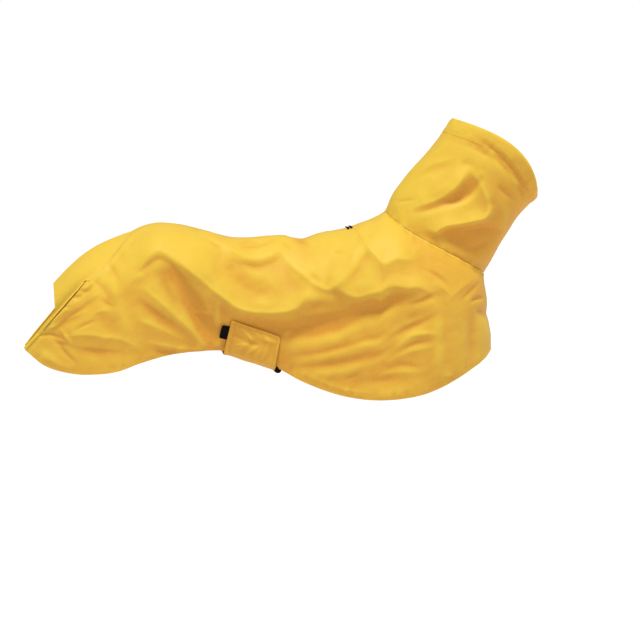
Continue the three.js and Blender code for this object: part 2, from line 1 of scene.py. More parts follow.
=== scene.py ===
"""Raincoat for a long-bodied dog, dressed as thin yellow coated cloth over its fixed frame.

Lengths are in millimetres, in the frame's axes: +X to the head, +Z up and -Y the dog's right side. Only the
paths of the folds are in pixels of the photograph. Every mesh is made in metres.
"""

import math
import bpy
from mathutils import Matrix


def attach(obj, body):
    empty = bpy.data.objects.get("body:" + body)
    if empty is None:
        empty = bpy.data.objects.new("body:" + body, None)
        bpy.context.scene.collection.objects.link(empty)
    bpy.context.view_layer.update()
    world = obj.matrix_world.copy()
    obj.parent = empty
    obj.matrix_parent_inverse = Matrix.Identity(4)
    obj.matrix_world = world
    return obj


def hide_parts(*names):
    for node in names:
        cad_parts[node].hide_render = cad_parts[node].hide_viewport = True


bl_info = {
    "name": "Dog Raincoat",
    "version": (1, 0, 0),
    "blender": (4, 5, 0),
    "location": "View3D > Sidebar > Raincoat",
    "description": "Builds a dog raincoat of coated cloth with its collar, tail cover and belly strap",
    "category": "Object",
}

import bmesh
import bpy
import numpy as np
from mathutils import Matrix, Vector

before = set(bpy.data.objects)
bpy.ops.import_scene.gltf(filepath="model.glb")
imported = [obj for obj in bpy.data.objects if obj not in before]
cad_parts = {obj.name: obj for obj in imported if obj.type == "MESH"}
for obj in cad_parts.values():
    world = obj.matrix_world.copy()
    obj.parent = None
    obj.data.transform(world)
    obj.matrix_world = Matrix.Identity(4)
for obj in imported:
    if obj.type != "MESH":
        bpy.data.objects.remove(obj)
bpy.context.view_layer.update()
MM = 0.001

# Camera of the photograph and the size of one of its pixels at the coat, in millimetres. A picture place is
# counted in pixels from the top left corner.
PICTURE = 640
PIXEL = 1.4
CAMERA_DISTANCE = 5000
CAMERA_AZIMUTH = math.radians(-4)
CAMERA_ELEVATION = math.radians(5)
CAMERA_AIM = np.array([0, 0, -120.96])
CAMERA_RIGHT = np.array([math.cos(CAMERA_AZIMUTH), math.sin(CAMERA_AZIMUTH), 0])
CAMERA_BACK = np.array([
    math.sin(CAMERA_AZIMUTH) * math.cos(CAMERA_ELEVATION),
    -math.cos(CAMERA_AZIMUTH) * math.cos(CAMERA_ELEVATION), math.sin(CAMERA_ELEVATION)])
CAMERA_UP = np.cross(CAMERA_BACK, CAMERA_RIGHT)

# Sections of the coat's right half, from the rear edge to the centre front, as in the frame's source
SECTION_NAMES = ("topX", "topZ", "topY", "hemX", "hemZ", "hemY", "wide", "level")
SECTIONS = (
    (-328, -60, 57, -412, -158, 20, 58, 0.10),
    (-310, -44, 52, -384, -179, 40, 63, 0.30),
    (-289, -25, 37, -350, -188, 60, 72, 0.42),
    (-262, 5, 0, -314, -190, 73, 80, 0.40),
    (-230, 16, 0, -284, -184, 79, 84, 0.32),
    (-198, 14, 0, -254, -173, 79, 84, 0.32),
    (-166, 7, 0, -220, -164, 73, 80, 0.35),
    (-133, -2, 0, -179, -158, 64, 73, 0.45),
    (-98, -4, 0, -137, -158, 56, 68, 0.57),
    (-63, -2, 0, -101, -169, 54, 67, 0.57),
    (-28, -5, 0, -65, -182, 57, 71, 0.54),
    (7, 2, 0, -32, -199, 65, 77, 0.42),
    (42, 10, 0, 2, -213, 75, 85, 0.38),
    (70, 19, 0, 33, -222, 82, 91, 0.36),
    (91, 31, 0, 63, -226, 86, 94, 0.36),
    (104, 18, 38, 91, -225, 87, 95, 0.38),
    (128, 1, 54, 119, -222, 85, 94, 0.38),
    (158, -15, 60, 147, -216, 80, 90, 0.36),
    (187, -31, 53, 178, -203, 70, 80, 0.38),
    (210, -44, 37, 205, -188, 54, 63, 0.40),
    (224, -52, 18, 228, -174, 31, 38, 0.40),
    (230, -56, 0, 241, -162, 0, 0, 0.40),
)
SECTION = {name: np.array([row[k] for row in SECTIONS], float) for k, name in enumerate(SECTION_NAMES)}
BACK_TIP = 3
NECK_BACK = 14
NECK_FRONT = 21

# Rings of the collar above its seam: back and front points, half width, bow and skew
COLLAR_RINGS = (
    (105, 60, 246, -28, 60, -4, 0),
    (123, 85, 264, 3, 58, 2, 0),
    (151, 115, 284, 30, 58, 11, -2),
    (186, 161, 304, 50, 60, 27, -7),
)
RING_HEIGHTS = (0, 0.24, 0.5, 0.75, 1)
CASING_WIDTH = 16

HALF_SEAM = 0.15
SEAM_GAP = 0.3
TAIL_SEAM_GAP = 0.8

# How the folds are laid: all fade towards the top line, a wide one blurs its path, a crisp one rounds its
# crest, and the relief is worked out on a net of this step, with a rim round the folds
FOLD_FADE = 24
WIDE_FOLD = 12
FOLD_BLUR = 5
CREST_ROUND = 0.9
RELIEF_STEP = 1.25
RELIEF_RIM = 50

# Folds laid on the picture: name, how wide it falls away to the left and to the right of its path, 1 for a
# crisp crest or 0 for a soft one, and the path in pixels with its height in millimetres at each point.
# A trough is below zero. Each table lies on a side plane at its own y.
BODY_FOLD_PLANE = -76
COLLAR_FOLD_PLANE = -54
STRAP_FOLD_PLANE = -66
BODY_FOLDS = (
    ("hip and loin lobe", 22, 12, 1, (
        (140, 270, 0), (148, 258, 4), (158, 252, 6), (172, 258, 7), (195, 276, 8), (222, 297, 9.5),
        (240, 309, 10.5), (262, 313, 10.5), (288, 311, 10), (302, 303, 7), (311, 289, 3), (315, 282, 0))),
    ("back scallop", 14, 6, 1, (
        (198, 229, 0), (212, 240, 3), (228, 252, 4.6), (245, 260, 5.6), (258, 262, 5.6), (270, 259, 4.8),
        (283, 252, 3), (288, 248, 0))),
    ("rib lobe", 20, 9, 1, (
        (281, 250, 0), (292, 267, 4.6), (305, 277, 6.4), (318, 286, 6.8), (330, 289, 7), (341, 283, 7),
        (350, 270, 6.4), (357, 255, 4.6), (365, 245, 2))),
    ("shoulder lobe", 20, 8, 1, (
        (367, 245, 2.6), (372, 251, 5), (379, 256, 6.4), (388, 259.5, 6.8), (399, 261.5, 6.8),
        (410, 259, 5.2), (417, 250, 3), (419, 243, 0))),
    ("loin hollow", 12, 10, 0, (
        (220, 264, 0), (234, 277, -2), (250, 289, -2.4), (262, 294, -2), (273, 286, 0))),
    ("loin small dent", 4, 4, 0, ((225, 272, 0), (230, 269, -1.1), (236, 271, 0))),
    ("scallop foot", 3, 8, 0, (
        (224, 261, 0), (243, 266, -1.2), (260, 268, -1.6), (275, 263, -1.2), (287, 258, 0))),
    ("rib lobe foot", 3, 9, 0, ((344, 290, 0), (356, 274, -2.2), (366, 258, -2), (372, 252, 0))),
    ("back crease rear", 3, 3, 0, ((205, 241, 0), (218, 248, -1.3), (232, 253, 0))),
    ("back crease middle", 6, 3, 1, (
        (238, 251, 0), (250, 250, -1.4), (264, 248, -2.2), (278, 242, -1.6), (291, 236, 0))),
    ("back crease front", 3, 6, 1, ((289, 235, 0), (301, 242, -2.2), (314, 250, 0))),
    ("back edge crease", 3, 4, 0, ((300, 240, 0), (312, 235, -1), (330, 234, 0))),
    ("saddle nick", 3, 2.5, 0, ((332, 254, 0), (338, 254, -1.2), (345, 254, 0))),
    ("saddle rise", 6, 4, 0, ((350, 241, 0), (366, 230, 1.6), (384, 213, 0))),
    ("saddle dip", 4, 6, 0, ((356, 247, 0), (370, 236, -1.4), (382, 225, 0))),
    ("flank band", 9, 24, 0, (
        (230, 321, 0), (262, 327, -5), (300, 328, -6.5), (340, 320, -6), (376, 308, -3), (404, 298, 0))),
    ("long rib ledge", 22, 11, 1, (
        (328, 283, 0), (341, 290, 5), (351, 295, 7.5), (361, 296.5, 8.2), (372, 291, 8.6), (384, 283.5, 9),
        (395, 286, 9), (405, 288, 8.6), (414, 287, 7.2), (424, 289, 3.5), (436, 297, 0))),
    ("long rib hollow", 6, 13, 0, ((348, 309, 0), (378, 299, -3.6), (418, 293, 0))),
    ("rib front crease", 3, 5, 0, ((406, 305, 0), (424, 298, -2.2), (439, 291, 0))),
    ("chest ray top", 8, 9, 0, (
        (283, 351, 0), (305, 346, 1.3), (330, 340, 2), (352, 330, 2), (376, 319, 1.2), (400, 310, 1),
        (425, 302, 0.7), (447, 295, 0))),
    ("chest ray top hollow", 4, 6, 0, ((286, 358, 0), (334, 350, -1.3), (390, 328, 0))),
    ("chest ray middle", 6, 7, 0, (
        (285, 363, 0), (312, 358, 1.1), (338, 353, 1.6), (368, 343, 1.3), (399, 332, 0))),
    ("chest ray low hollow", 4, 6, 0, ((283, 369, 0), (340, 363, -1.5), (399, 345, 0))),
    ("chest ray low", 6, 6, 0, ((298, 376, 0), (330, 374, 1.4), (350, 370, 1.5), (387, 356, 0))),
    ("chest wave hollow", 4, 5, 0, ((382, 341, 0), (408, 327, -2), (442, 311, 0))),
    ("chest wave ridge", 4, 4.5, 1, (
        (390, 353, 0), (400, 343, 1.8), (411, 335, 2.2), (425, 333, 2), (439, 334, 0))),
    ("chest wave foot", 3, 4, 0, ((394, 354, 0), (412, 344, -1.6), (431, 340, 0))),
    ("chest low ridge", 5, 5, 1, (
        (382, 364, 0), (395, 357, 1.5), (408, 351, 1.8), (424, 347, 1.3), (439, 344, 0))),
    ("chest low crease", 3, 3.5, 1, ((384, 369, 0), (402, 364, -1.5), (421, 367, 0))),
    ("chest last ridge", 4, 6, 1, ((373, 378, 0), (388, 373, 1.4), (402, 371, 1.7), (425, 371, 0))),
    ("front hem hollow", 8, 6, 0, ((336, 384, 0), (372, 380, -1), (410, 377, 0))),
    ("front hem dents", 3, 3, 0, ((342, 379, 0), (352, 377, -1), (363, 373, 0))),
    ("front hem ridge", 7, 10, 0, ((350, 396, 0), (392, 392, 1.4), (432, 380, 0))),
    ("front hem lift", 5, 8, 1, ((300, 372, 0), (322, 382, 1.2), (346, 390, 1.4), (372, 393, 0))),
    ("strap pull", 4, 4, 1, ((282, 340, 0), (288, 334, 1.8), (297, 324, 0))),
    ("chest front crease upper", 6, 4, 1, ((444, 302, 0), (455, 293, 1.8), (466, 285, 2.2), (481, 276, 0))),
    ("chest front crease middle", 3, 3, 0, ((456, 304, 0), (471, 292, -1.6), (485, 281, 0))),
    ("chest front nick", 3, 2, 0, ((470, 304, 0), (478, 300, -1.8), (488, 301, 0))),
    ("chest upright ridge", 9, 8, 0, ((436, 303, 0), (437, 330, 1.8), (437, 360, 2.2), (436, 387, 0))),
    ("chest upright hollow", 9, 10, 0, ((470, 307, 0), (474, 338, -2.6), (470, 372, 0))),
    ("chest edge swell", 8, 8, 0, ((486, 317, 0), (491, 334, 1.6), (489, 351, 0))),
    ("chest edge notch", 5, 5, 0, ((477, 313, 0), (483, 314, -1.6), (489, 315, 0))),
    ("chest hem bump", 4, 4, 1, ((438, 378, 0), (447, 375, 1.4), (458, 378, 0))),
    ("chest mid dapple", 5, 6, 0, ((402, 318, 0), (412, 316, -1.2), (424, 311, 0))),
    ("rump ridge", 8, 7, 1, (
        (139, 283, 0), (150, 293, 2), (165, 306, 3), (180, 321, 3), (194, 335, 2.2), (208, 350, 0))),
    ("rump valley", 11, 12, 0, (
        (168, 260, 0), (182, 285, -4), (192, 305, -5.6), (206, 328, -5.4), (219, 345, 0))),
    ("rump facet", 5, 9, 0, ((135, 297, 0), (156, 314, -2.2), (193, 339, 0))),
    ("rump facet edge", 3, 6, 1, ((134, 317, 0), (150, 324, 1.6), (190, 343, 0))),
    ("arch top hollow", 4, 17, 0, (
        (139, 274, 0), (149, 264, -3.2), (160, 259, -4), (173, 267, -4), (187, 284, 0))),
    ("arch inner hollow", 9, 9, 0, ((156, 268, 0), (163, 281, -2.2), (172, 300, -2.4), (182, 318, 0))),
    ("rear dapple one", 2.5, 3, 1, ((64, 323, 0), (76, 316, 1.3), (90, 310, 0))),
    ("rear dapple two", 3, 2.5, 0, ((73, 333, 0), (84, 326, -1.3), (98, 321, 0))),
    ("rear dapple three", 3, 3, 1, ((88, 319, 0), (101, 312, 1.1), (114, 309, 0))),
    ("rear dapple four", 2.5, 2.5, 0, ((46, 331, 0), (55, 328, 1.2), (64, 320, 0))),
    ("rear dapple five", 2.5, 3, 1, ((98, 300, 0), (107, 304, -1.1), (118, 303, 0))),
    ("rear dapple six", 3, 3, 0, ((52, 341, 0), (60, 346, -1.1), (70, 346, 0))),
    ("shoulder crease", 3, 3, 0, ((418, 267, 0), (436, 275, -1.2), (452, 288, 0))),
    ("shoulder crease low", 3, 3, 1, ((430, 281, 0), (442, 288, 1.2), (453, 298, 0))),
    ("shoulder crease high", 3, 3, 0, ((424, 258, 0), (440, 262, -0.9), (458, 272, 0))),
    ("back small crease", 2.5, 3, 1, ((236, 247, 0), (250, 244, -1.1), (262, 246, 0))),
    ("back small rise", 3, 3, 0, ((312, 243, 0), (326, 240, 1), (342, 243, 0))),
    ("flank small crease", 8, 8, 0, ((300, 301, 0), (314, 299, 2.4), (328, 299, 2.8), (342, 304, 0))),
    ("flank seam crease", 2.5, 2.5, 0, ((189, 314, 0), (202, 314, 1.1), (215, 313, 0))),
    ("label band", 4, 4, 0, ((217, 299, 0), (217, 315, 1.8), (217, 335, 0))),
    ("dart crease", 3, 3.5, 0, ((102, 260, 0), (110, 268, -0.98), (120, 280, 0))),
    ("dart upper nick", 3, 3, 0, ((95, 257, 0), (100, 259, -0.6), (105, 258, 0))),
    ("dart side swell", 7, 6, 0, ((112, 256, 0), (122, 268, 0.48), (130, 284, 0))),
    ("rear edge fold", 4, 4, 1, ((85, 280, 0), (94, 282, -0.8), (103, 290, -1.2), (110, 303, 0))),
    ("rear edge swell", 7, 6, 0, ((94, 275, 0), (112, 286, 0.9), (121, 306, 0))),
    ("rear pucker upper", 2.5, 3, 0, ((78, 290, 0), (86, 292, -1.6), (94, 285, 0))),
    ("rear pucker middle", 2.5, 3, 0, ((71, 297, 0), (78, 298, -1.4), (85, 292, 0))),
    ("rear pucker low", 2.5, 3, 0, ((62, 307, 0), (69, 308, -1.2), (75, 302, 0))),
    ("rear bank", 5, 6, 1, ((41, 333, 0), (52, 323, 1.8), (62, 315, 2.2), (72, 306, 2.2), (85, 298, 0))),
    ("rear valley", 4, 9, 0, (
        (48, 336, 0), (62, 325, -1.5), (76, 315, -2.2), (90, 304, -1.7), (103, 295, 0))),
    ("rear dark wedge", 3, 4, 1, ((32, 337, 0), (48, 337, -2.2), (66, 341, 0))),
    ("rear star ridge", 3, 3, 0, ((59, 329, 0), (66, 338, 1.4), (73, 347, 0))),
    ("rear low ridge", 14, 8, 1, (
        (63, 338, 0), (80, 336, 2.4), (102, 336, 3.2), (124, 340, 3.2), (145, 352, 0))),
    ("rear low hollow", 4, 9, 0, ((66, 349, 0), (96, 352, -1.6), (126, 353, 0))),
    ("rear corner crease", 3, 3, 1, ((56, 343, 0), (65, 355, -2.2), (80, 368, 0))),
    ("rear corner lift", 6, 6, 0, ((38, 351, 0), (52, 362, 1.4), (72, 371, 0))),
    ("fan low ridge", 6, 5, 1, ((147, 341, 0), (165, 346, 2.2), (180, 349, 2.6), (208, 351, 0))),
    ("fan low hollow", 4, 5, 0, ((149, 349, 0), (176, 354, -1.4), (202, 353, 0))),
    ("rump back crease", 4, 3, 0, ((136, 226, 0), (160, 233, -1.2), (188, 231, 0))),
    ("rump side swell", 12, 10, 0, ((110, 298, 0), (124, 318, 1.8), (133, 338, 0))),
)
COLLAR_FOLDS = (
    ("lit wedge", 16, 6, 1, (
        (406, 212, 0), (418, 207, 3), (431, 202.5, 5.4), (445, 196, 7), (456, 188, 7.4), (462, 179, 6.4),
        (466, 171, 3), (468, 164, 0))),
    ("dark wedge", 13, 5, 0, (
        (411, 214, 0), (425, 210, -3), (441, 205, -5), (457, 200, -6.4), (468, 194, -6.4), (476, 184, -3.6),
        (482, 175, 0))),
    ("front ridge", 7, 5, 1, (
        (467, 167, 0), (475, 176, 2), (482, 188, 2.8), (487, 201, 2.8), (489, 213, 1.4), (489, 219, 0))),
    ("low ledge", 13, 7, 1, (
        (425, 247, 0), (434, 234, 4.4), (445, 226, 7), (460, 223, 7.8), (475, 220, 7.8), (484, 217, 6),
        (489, 210, 2.5), (491, 204, 0))),
    ("low hollow", 5, 34, 0, (
        (436, 239, 0), (450, 232, -5), (470, 229.5, -6.2), (486, 229, -6), (500, 233, -3), (508, 238, 0))),
    ("low hollow side", 6, 6, 0, ((468, 251, 0), (484, 246, -1.6), (498, 239, 0))),
    ("upper valley", 7, 7, 0, ((396, 191, 0), (426, 172, -3), (457, 164, 0))),
    ("upper ridge", 5, 6, 1, ((408, 182, 0), (430, 167, 3), (453, 158, 0))),
    ("nape ridge", 6, 6, 0, ((420, 165, 0), (436, 152, 2), (454, 141, 0))),
    ("nape crease", 3, 3, 0, ((424, 156, 0), (434, 151, -1.3), (445, 146, 0))),
    ("brow hollow", 7, 9, 0, ((460, 139, 0), (480, 148, -1.8), (502, 168, 0))),
    ("elastic pull", 4, 5, 0, (
        (470, 134, 0), (492, 147, -1.3), (508, 162, -1.8), (520, 178, -1.5), (530, 194, 0))),
    ("front crease", 4, 3, 1, ((496, 184, 0), (505, 193, -2), (518, 202, 0))),
    ("front swell", 7, 7, 0, ((500, 198, 0), (506, 215, 1.8), (502, 234, 0))),
    ("upper front crease", 4, 4, 0, ((487, 149, 0), (500, 162, -1.6), (513, 182, 0))),
    ("nape small crease", 3, 3, 0, ((393, 204, 0), (405, 202, -1.4), (420, 199, 0))),
    ("rim crease long", 2, 3, 1, (
        (476, 138, 0), (488, 146, -1.4), (500, 157, -1.8), (512, 170, -1.4), (520, 181, 0))),
    ("rim crease short", 2, 2.5, 1, ((512, 168, 0), (520, 180, -1.8), (527, 192, 0))),
    ("rim front crease", 2, 3, 1, ((516, 184, 0), (522, 192, -2), (527, 203, 0))),
    ("seam gather rear", 2.5, 2.5, 0, ((408, 225, 0), (412, 231, -1.3), (415, 239, 0))),
    ("seam gather middle", 2.5, 2.5, 0, ((421, 235, 0), (426, 241, -1.1), (430, 247, 0))),
    ("seam gather front", 2.5, 2.5, 0, ((454, 253, 0), (459, 258, -1.3), (463, 265, 0))),
    ("seam gather last", 2.5, 2.5, 0, ((465, 256, 0), (470, 262, -1.3), (475, 270, 0))),
)
STRAP_FOLDS = (
    ("fan upper rear", 2.5, 3.5, 1, ((239, 327, 0), (247, 335, 1.3), (254, 343, 0))),
    ("fan upper middle", 2.5, 3.5, 1, ((248, 327, 0), (257, 335, 1.5), (266, 342, 0))),
    ("fan upper front", 3, 3, 0, ((262, 334, 0), (266, 339, 1.2), (270, 346, 0))),
    ("fan low rear", 3, 3, 1, ((236, 352, 0), (244, 347, 1.4), (254, 343, 0))),
    ("fan low middle", 3, 3, 1, ((246, 356, 0), (254, 350, 1.6), (262, 343, 0))),
    ("fan low front", 2.5, 3, 1, ((262, 362, 0), (266, 353, 1.4), (269, 342, 0))),
    ("fan upper far", 2, 2.5, 1, ((244, 329, 0), (250, 338, 1.2), (252, 345, 0))),
    ("fan side rear", 2, 3, 1, ((232, 346, 0), (241, 345, 1.2), (250, 343, 0))),
    ("fan side front", 2, 2.5, 1, ((262, 340, 0), (270, 341, 1.3), (277, 345, 0))),
    ("fan foot", 2, 3, 1, ((256, 364, 0), (258, 355, 1.2), (262, 347, 0))),
    ("fan hollow", 4, 4, 0, ((243, 342, 0), (252, 344, -1.5), (262, 346, 0))),
    ("foot ridge", 3, 3, 0, ((234, 358, 0), (248, 362, 0.9), (262, 365, 0))),
    ("mid crease", 3, 3, 0, ((230, 335, 0), (238, 338, -0.9), (246, 341, 0))),
)

# Small bumps of the outline, common to both halves: place along it, height and how wide it is
BACK_BUMPS = ((-52, 1.7, 8), (-24, -2.0, 9), (2, 1.3, 13), (-175, -0.8, 16), (-118, -0.9, 20), (40, -1.0, 9))
FRONT_BUMPS = ((-92, 0.8, 9), (-112, -2.0, 7), (-142, 1.4, 14), (-70, -0.8, 6))

# Lines of relief along an edge of the coat: height, distance from the edge and how wide
NECK_RIDGE = (1.1, 1.8, 1.6)
NECK_GATHERS = (0.8, 3, 7)
SHOULDER_CREST = (1.2, 19, 18)
BACK_GATHERS = (0.3, 0, 6)
TOP_GROOVE = (-0.05, 0, 1.3)
RUMP_CREST = (2.6, 20, 13)
HEM_PUCKERS = (0.42, 7, 5.5)
HEM_GROOVE = (-0.07, 8.2, 1.4)
HEM_WAVES = (1.3, 0, 26)
REAR_GROOVE = (-0.12, 0, 3)
REAR_DEPTH = 24

# The same for the collar: from the rim's casing upwards, from the casing downwards, and from the neck seam
CASING_GATHERS = (0.5, 0, 8)
CASING_GROOVE = (-0.3, -1.2, 1.2)
RIM_GROOVE = (-0.5, 0, 1.4)
TUBE_GATHERS = (0.5, 0, 9)
TUBE_RIDGE = (0.4, 0, 1.6)
TUBE_VALLEY = (-0.7, 7, 1.9)
SEAM_GATHERS = (0.6, 0, 7)
SEAM_GROOVE = (-0.1, 0, 1.4)

# The same for the tail cover's seam and free edge, and for the strap's ends and rear side
TAIL_SEAM_GROOVE = (-0.4, 0, 1.5)
TAIL_PUCKERS = (0.35, 55, 8)
STRAP_EDGE_GROOVE = (-0.3, 4.2, 1.2)
STRAP_SIDE_GROOVE = (-0.4, 6.2, 1.2)
STRAP_SIDE_PUCKERS = (0.3, 6, 5)
STRAP_END_PUCKERS = (0.25, 4, 5)

# How the left half's folds differ: moved, and weaker
LEFT_SHIFT_X = 14
LEFT_SHIFT_Z = -7
LEFT_SHARE = 0.85
LEFT_COLLAR_SHIFT = 0.6

# Tail cover, belly strap, label, tab and slit, as in the frame's source
TAIL_END = (-372, -68)
TAIL_CORNER = (-369, -119, 37)
TAIL_ARCH = 11
TAIL_STEP = (0.12, 5)
TAIL_DELAY = (0.34, 1.8)
TAIL_DROP = 60
TAIL_TUCK = ((5, 2.2), (2, 1.1), (0.9, 0.3))
STRAP_TOP = np.array([[-127, -114], [-59, -139]], float)
STRAP_FOLD = np.array([[-138, -161], [-67, -187]], float)
STRAP_WIDTH = 70
STRAP_OUT = 2.9
STRAP_FAR_LAP = 25
STRAP_TURN = 4
STRAP_SAG = 3
STRAP_TUCK = 1.4
STRAP_CORNER = 0.08
STRAP_CORNER_CUT = 0.1
STRAP_FOLD_SHARE = 0.85
LABEL = (-136.6, -131, 12, 19, -0.22)
LABEL_OUT = 1.6
TAB = (-62.3, -189.0, 9, 8, -0.5)
TAB_RISE = 3.6
TAB_DEPTH = 2.2
SLIT_X = 41
SLIT_LENGTH = 46
SLIT_LIP = 4.2

# Profiles across the rear edge's binding, as reach to the rear and lift, and the dark seam beyond it, which
# is a dark seam and also a painted shadow line where the edge lies over the tail cover
BINDING_PROFILE = ((-1.5, 0.08), (-0.7, 0.28), (0.2, 0.42), (1.1, 0.3), (1.7, -0.1), (1.9, -0.5))
REAR_SEAM_SHARE = 0.7
REAR_SEAM_REACH = -1.9
REAR_SEAM_WIDTH = 1.3

# Thickness of pieces that no property sets, the rounding of rims, how far tapes and casing reach, and how
# far stitches lie from the edge; the hem's is below 0 because it counts from the hem upwards
BINDING_WALL = 1.5
REAR_SEAM_WALL = 0.4
TAPE_WALL = 0.35
LABEL_WALL = 0.8
TAB_WALL = 1.8
LIP_WALL = 0.9
THICK_RIM = 0.7
THIN_RIM = 0.1
TAPE_REACH = 5
CASING_OUT = 0.7
HEM_STITCH = -7.6
NECK_STITCH = 4.6
RIM_STITCH = 2.2
STRAP_STITCH_COLUMNS = (6, 70)
STRAP_STITCH_ROWS = slice(4, 100)

# Steps or points along and down each piece. The coat's rows lie closer near its top line and hem: how many,
# and at which share of the even step.
BODY_STEPS = (56, 176, 108)
BODY_ROWS = 120
TOP_ROWS = (6, 0.6)
HEM_ROWS = (10, 0.55)
COLLAR_HALF = 132
COLLAR_ROWS = 96
CASING_ROWS = 15
TAIL_GRID = (97, 61)
STRAP_GRID = (76, 188)
LABEL_GRID = (25, 37)
TAB_GRID = (21, 21)

# Patches of painted shade (below 0) and painted light (above 0) on the cloth, such as shade under the strap
# and the collar's ledge: middle (x, z), reach in x and z, and amount
BODY_PAINTED_PATCHES = (
    ("chest below the strap", 20, -157, 62, 16, -0.28),
    ("chest low", 78, -182, 44, 12, -0.2),
    ("shoulder below the lobe", 106, -58, 20, 13, -0.22),
    ("flank behind the chest", -20, -118, 34, 16, -0.2),
    ("rump above the strap", -166, -128, 20, 20, -0.3),
    ("rear corner", -385, -163, 30, 16, 0.3),
    ("rear bank", -380, -122, 12, 12, 0.4),
)
COLLAR_PAINTED_PATCHES = (
    ("under the low ledge", 202, -14, 34, 17, -0.62),
    ("under the ledge's end", 230, 8, 18, 16, -0.35),
    ("nape", 118, 60, 26, 40, 0.25),
    ("upper side", 214, 96, 30, 22, 0.14),
)

# Small waves of the cloth: swells by height and cell, cells along edges, and seeds and size of the draws
COAT_SWELLS = ((0.8, 46), (0.32, 19), (0.13, 8))
FOLD_UNEVEN = 0.25
FOLD_CELL = 21
GATHER_CELL = 6.5
PUCKER_CELL = 6
HEM_WAVE_CELL = 38
RIM_CELL = 6.3
SEAM_CELL = 7
RIGHT_SEED = 23
LEFT_SEED = 71
COLLAR_SEED = 31
WAVE_POINTS = 1024
RIPPLE_POINTS = 128
NEAR = (-1, 0, 1, 2)

# Passes that smooth the cloth: where it rounds the corners of its top line, and for the fine and broad form
# against which crests and hollows are measured for painted light and painted shade
CORNER_PASSES = 260
TIP_ROUND = 0.8
NECK_ROUND = 1.9
FINE_PASSES = 12
BROAD_PASSES = 110

# Mirror that swaps left and right
ACROSS = np.array([1, -1, 1])

# Painted light and painted shade along the coat's edges: amount (painted light above 0, painted shade below
# 0), distance from the edge and how wide; the rear edge counts sections
RUMP_PAINTED_LIGHT = (0.45, 0, 17)
REAR_PAINTED_LIGHT = (0.8, 0, 0.2)
SHOULDER_PAINTED_SHADE = (-0.56, 28, 40)
NECK_PAINTED_LIGHT = (0.6, 1.8, 1.6)
# Painted light added over the whole tail cover, and the share of painted light kept on the strap, which
# paints it in more shade
TAIL_PAINTED_LIGHT = 0.4
STRAP_PAINTED_SHADE = 0.85

# Weave and stitches
CLOTH_PITCH = 0.0011
STITCH_GAP = 1.2
STITCH_WIDTH = 0.46
STITCH_LIFT = 0.12

# Studio: suns by name, strength, soft angle and direction, and the world's greys by height; floor in metres
FLOOR_Z = -1.1
LAMPS = (
    ("overhead_light", 2.9, 13, (-0.07, -0.37, 0.93)),
    ("front_fill_light", 0.45, 60, (0.86, -0.45, 0.15)),
)
AIR_STOPS = ((0.03, 1), (0.10, 0.42))


# Plain sums on arrays

def lerp(a, b, t):
    return a + (b - a) * t


def smoothstep(value, low, high):
    t = np.clip((value - low) / (high - low), 0, 1)
    return t * t * (3 - 2 * t)


def length(vectors):
    return np.sqrt((vectors ** 2).sum(-1))


def unit(vectors):
    return vectors / np.maximum(length(vectors), 1e-9)[..., None]


def bell(distance, width):
    return np.exp(-(distance / width) ** 2)


def catmull(a, b, c, d, t):
    """Smooth value at the share t of the way from b to c, with a before them and d behind them."""
    slope1 = (c - a) / 2
    slope2 = (d - b) / 2
    return ((2 * t ** 3 - 3 * t ** 2 + 1) * b + (t ** 3 - 2 * t ** 2 + t) * slope1
            + (3 * t ** 2 - 2 * t ** 3) * c + (t ** 3 - t ** 2) * slope2)


def runs(points, axis=0):
    """Lengths along lines of points, from 0 at their start."""
    steps = length(np.diff(points, axis=axis))
    return np.insert(np.cumsum(steps, axis=axis), 0, 0, axis=axis)


def at_runs(marks, run, values):
    """Points or normals of a line at the given lengths along it."""
    return np.stack([np.interp(marks, run, values[:, k]) for k in range(3)], -1)


def even_line(points, count):
    run = runs(points)
    return at_runs(np.linspace(0, run[-1], count + 1), run, points)


def evened(points, passes, axes=(0, 1)):
    """The same points with their folds smoothed away along the given axes."""
    even = points.copy()
    for _ in range(passes):
        for axis in axes:
            line = np.moveaxis(even, axis, 0)
            line[1:-1] = (line[:-2] + 2 * line[1:-1] + line[2:]) / 4
    return even


def wave(place, cell, seed):
    """Uneven wave along one direction, about -1 to 1."""
    lattice = np.random.RandomState(seed).uniform(-1, 1, WAVE_POINTS)
    steps = np.asarray(place, float) / cell
    base = np.floor(steps).astype(int)
    return catmull(*(lattice[(base + k) % WAVE_POINTS] for k in NEAR), steps - base)


def on_net(net, u, v):
    """Smooth value between the points of a net, which repeats past its rims."""
    i = np.floor(u).astype(int)
    j = np.floor(v).astype(int)
    rows = []
    for a in NEAR:
        near = [net[(i + a) % net.shape[0], (j + b) % net.shape[1]] for b in NEAR]
        rows.append(catmull(*near, v - j))
    return catmull(*rows, u - i)


def ripple(x, z, cell, seed):
    """Uneven swell over a plane, about -1 to 1."""
    lattice = np.random.RandomState(seed).uniform(-1, 1, (RIPPLE_POINTS, RIPPLE_POINTS))
    return on_net(lattice, np.asarray(x, float) / cell, np.asarray(z, float) / cell)


def edge_relief(distance, line):
    """Height of a line of relief at a distance from its edge."""
    height, place, wide = line
    return height * bell(distance - place, wide)


def side_place(u, v, plane):
    """Place (x, z) to the nearest millimetre that a picture place shows on the side plane y = plane."""
    right = (u - PICTURE / 2) * PIXEL * CAMERA_RIGHT
    up = (PICTURE / 2 - v) * PIXEL * CAMERA_UP
    eye = CAMERA_AIM + CAMERA_DISTANCE * CAMERA_BACK
    aim = CAMERA_AIM + right + up
    place = lerp(eye, aim, (plane - eye[1]) / (aim[1] - eye[1]))
    return round(place[0]), round(place[2])


# Form of the coat

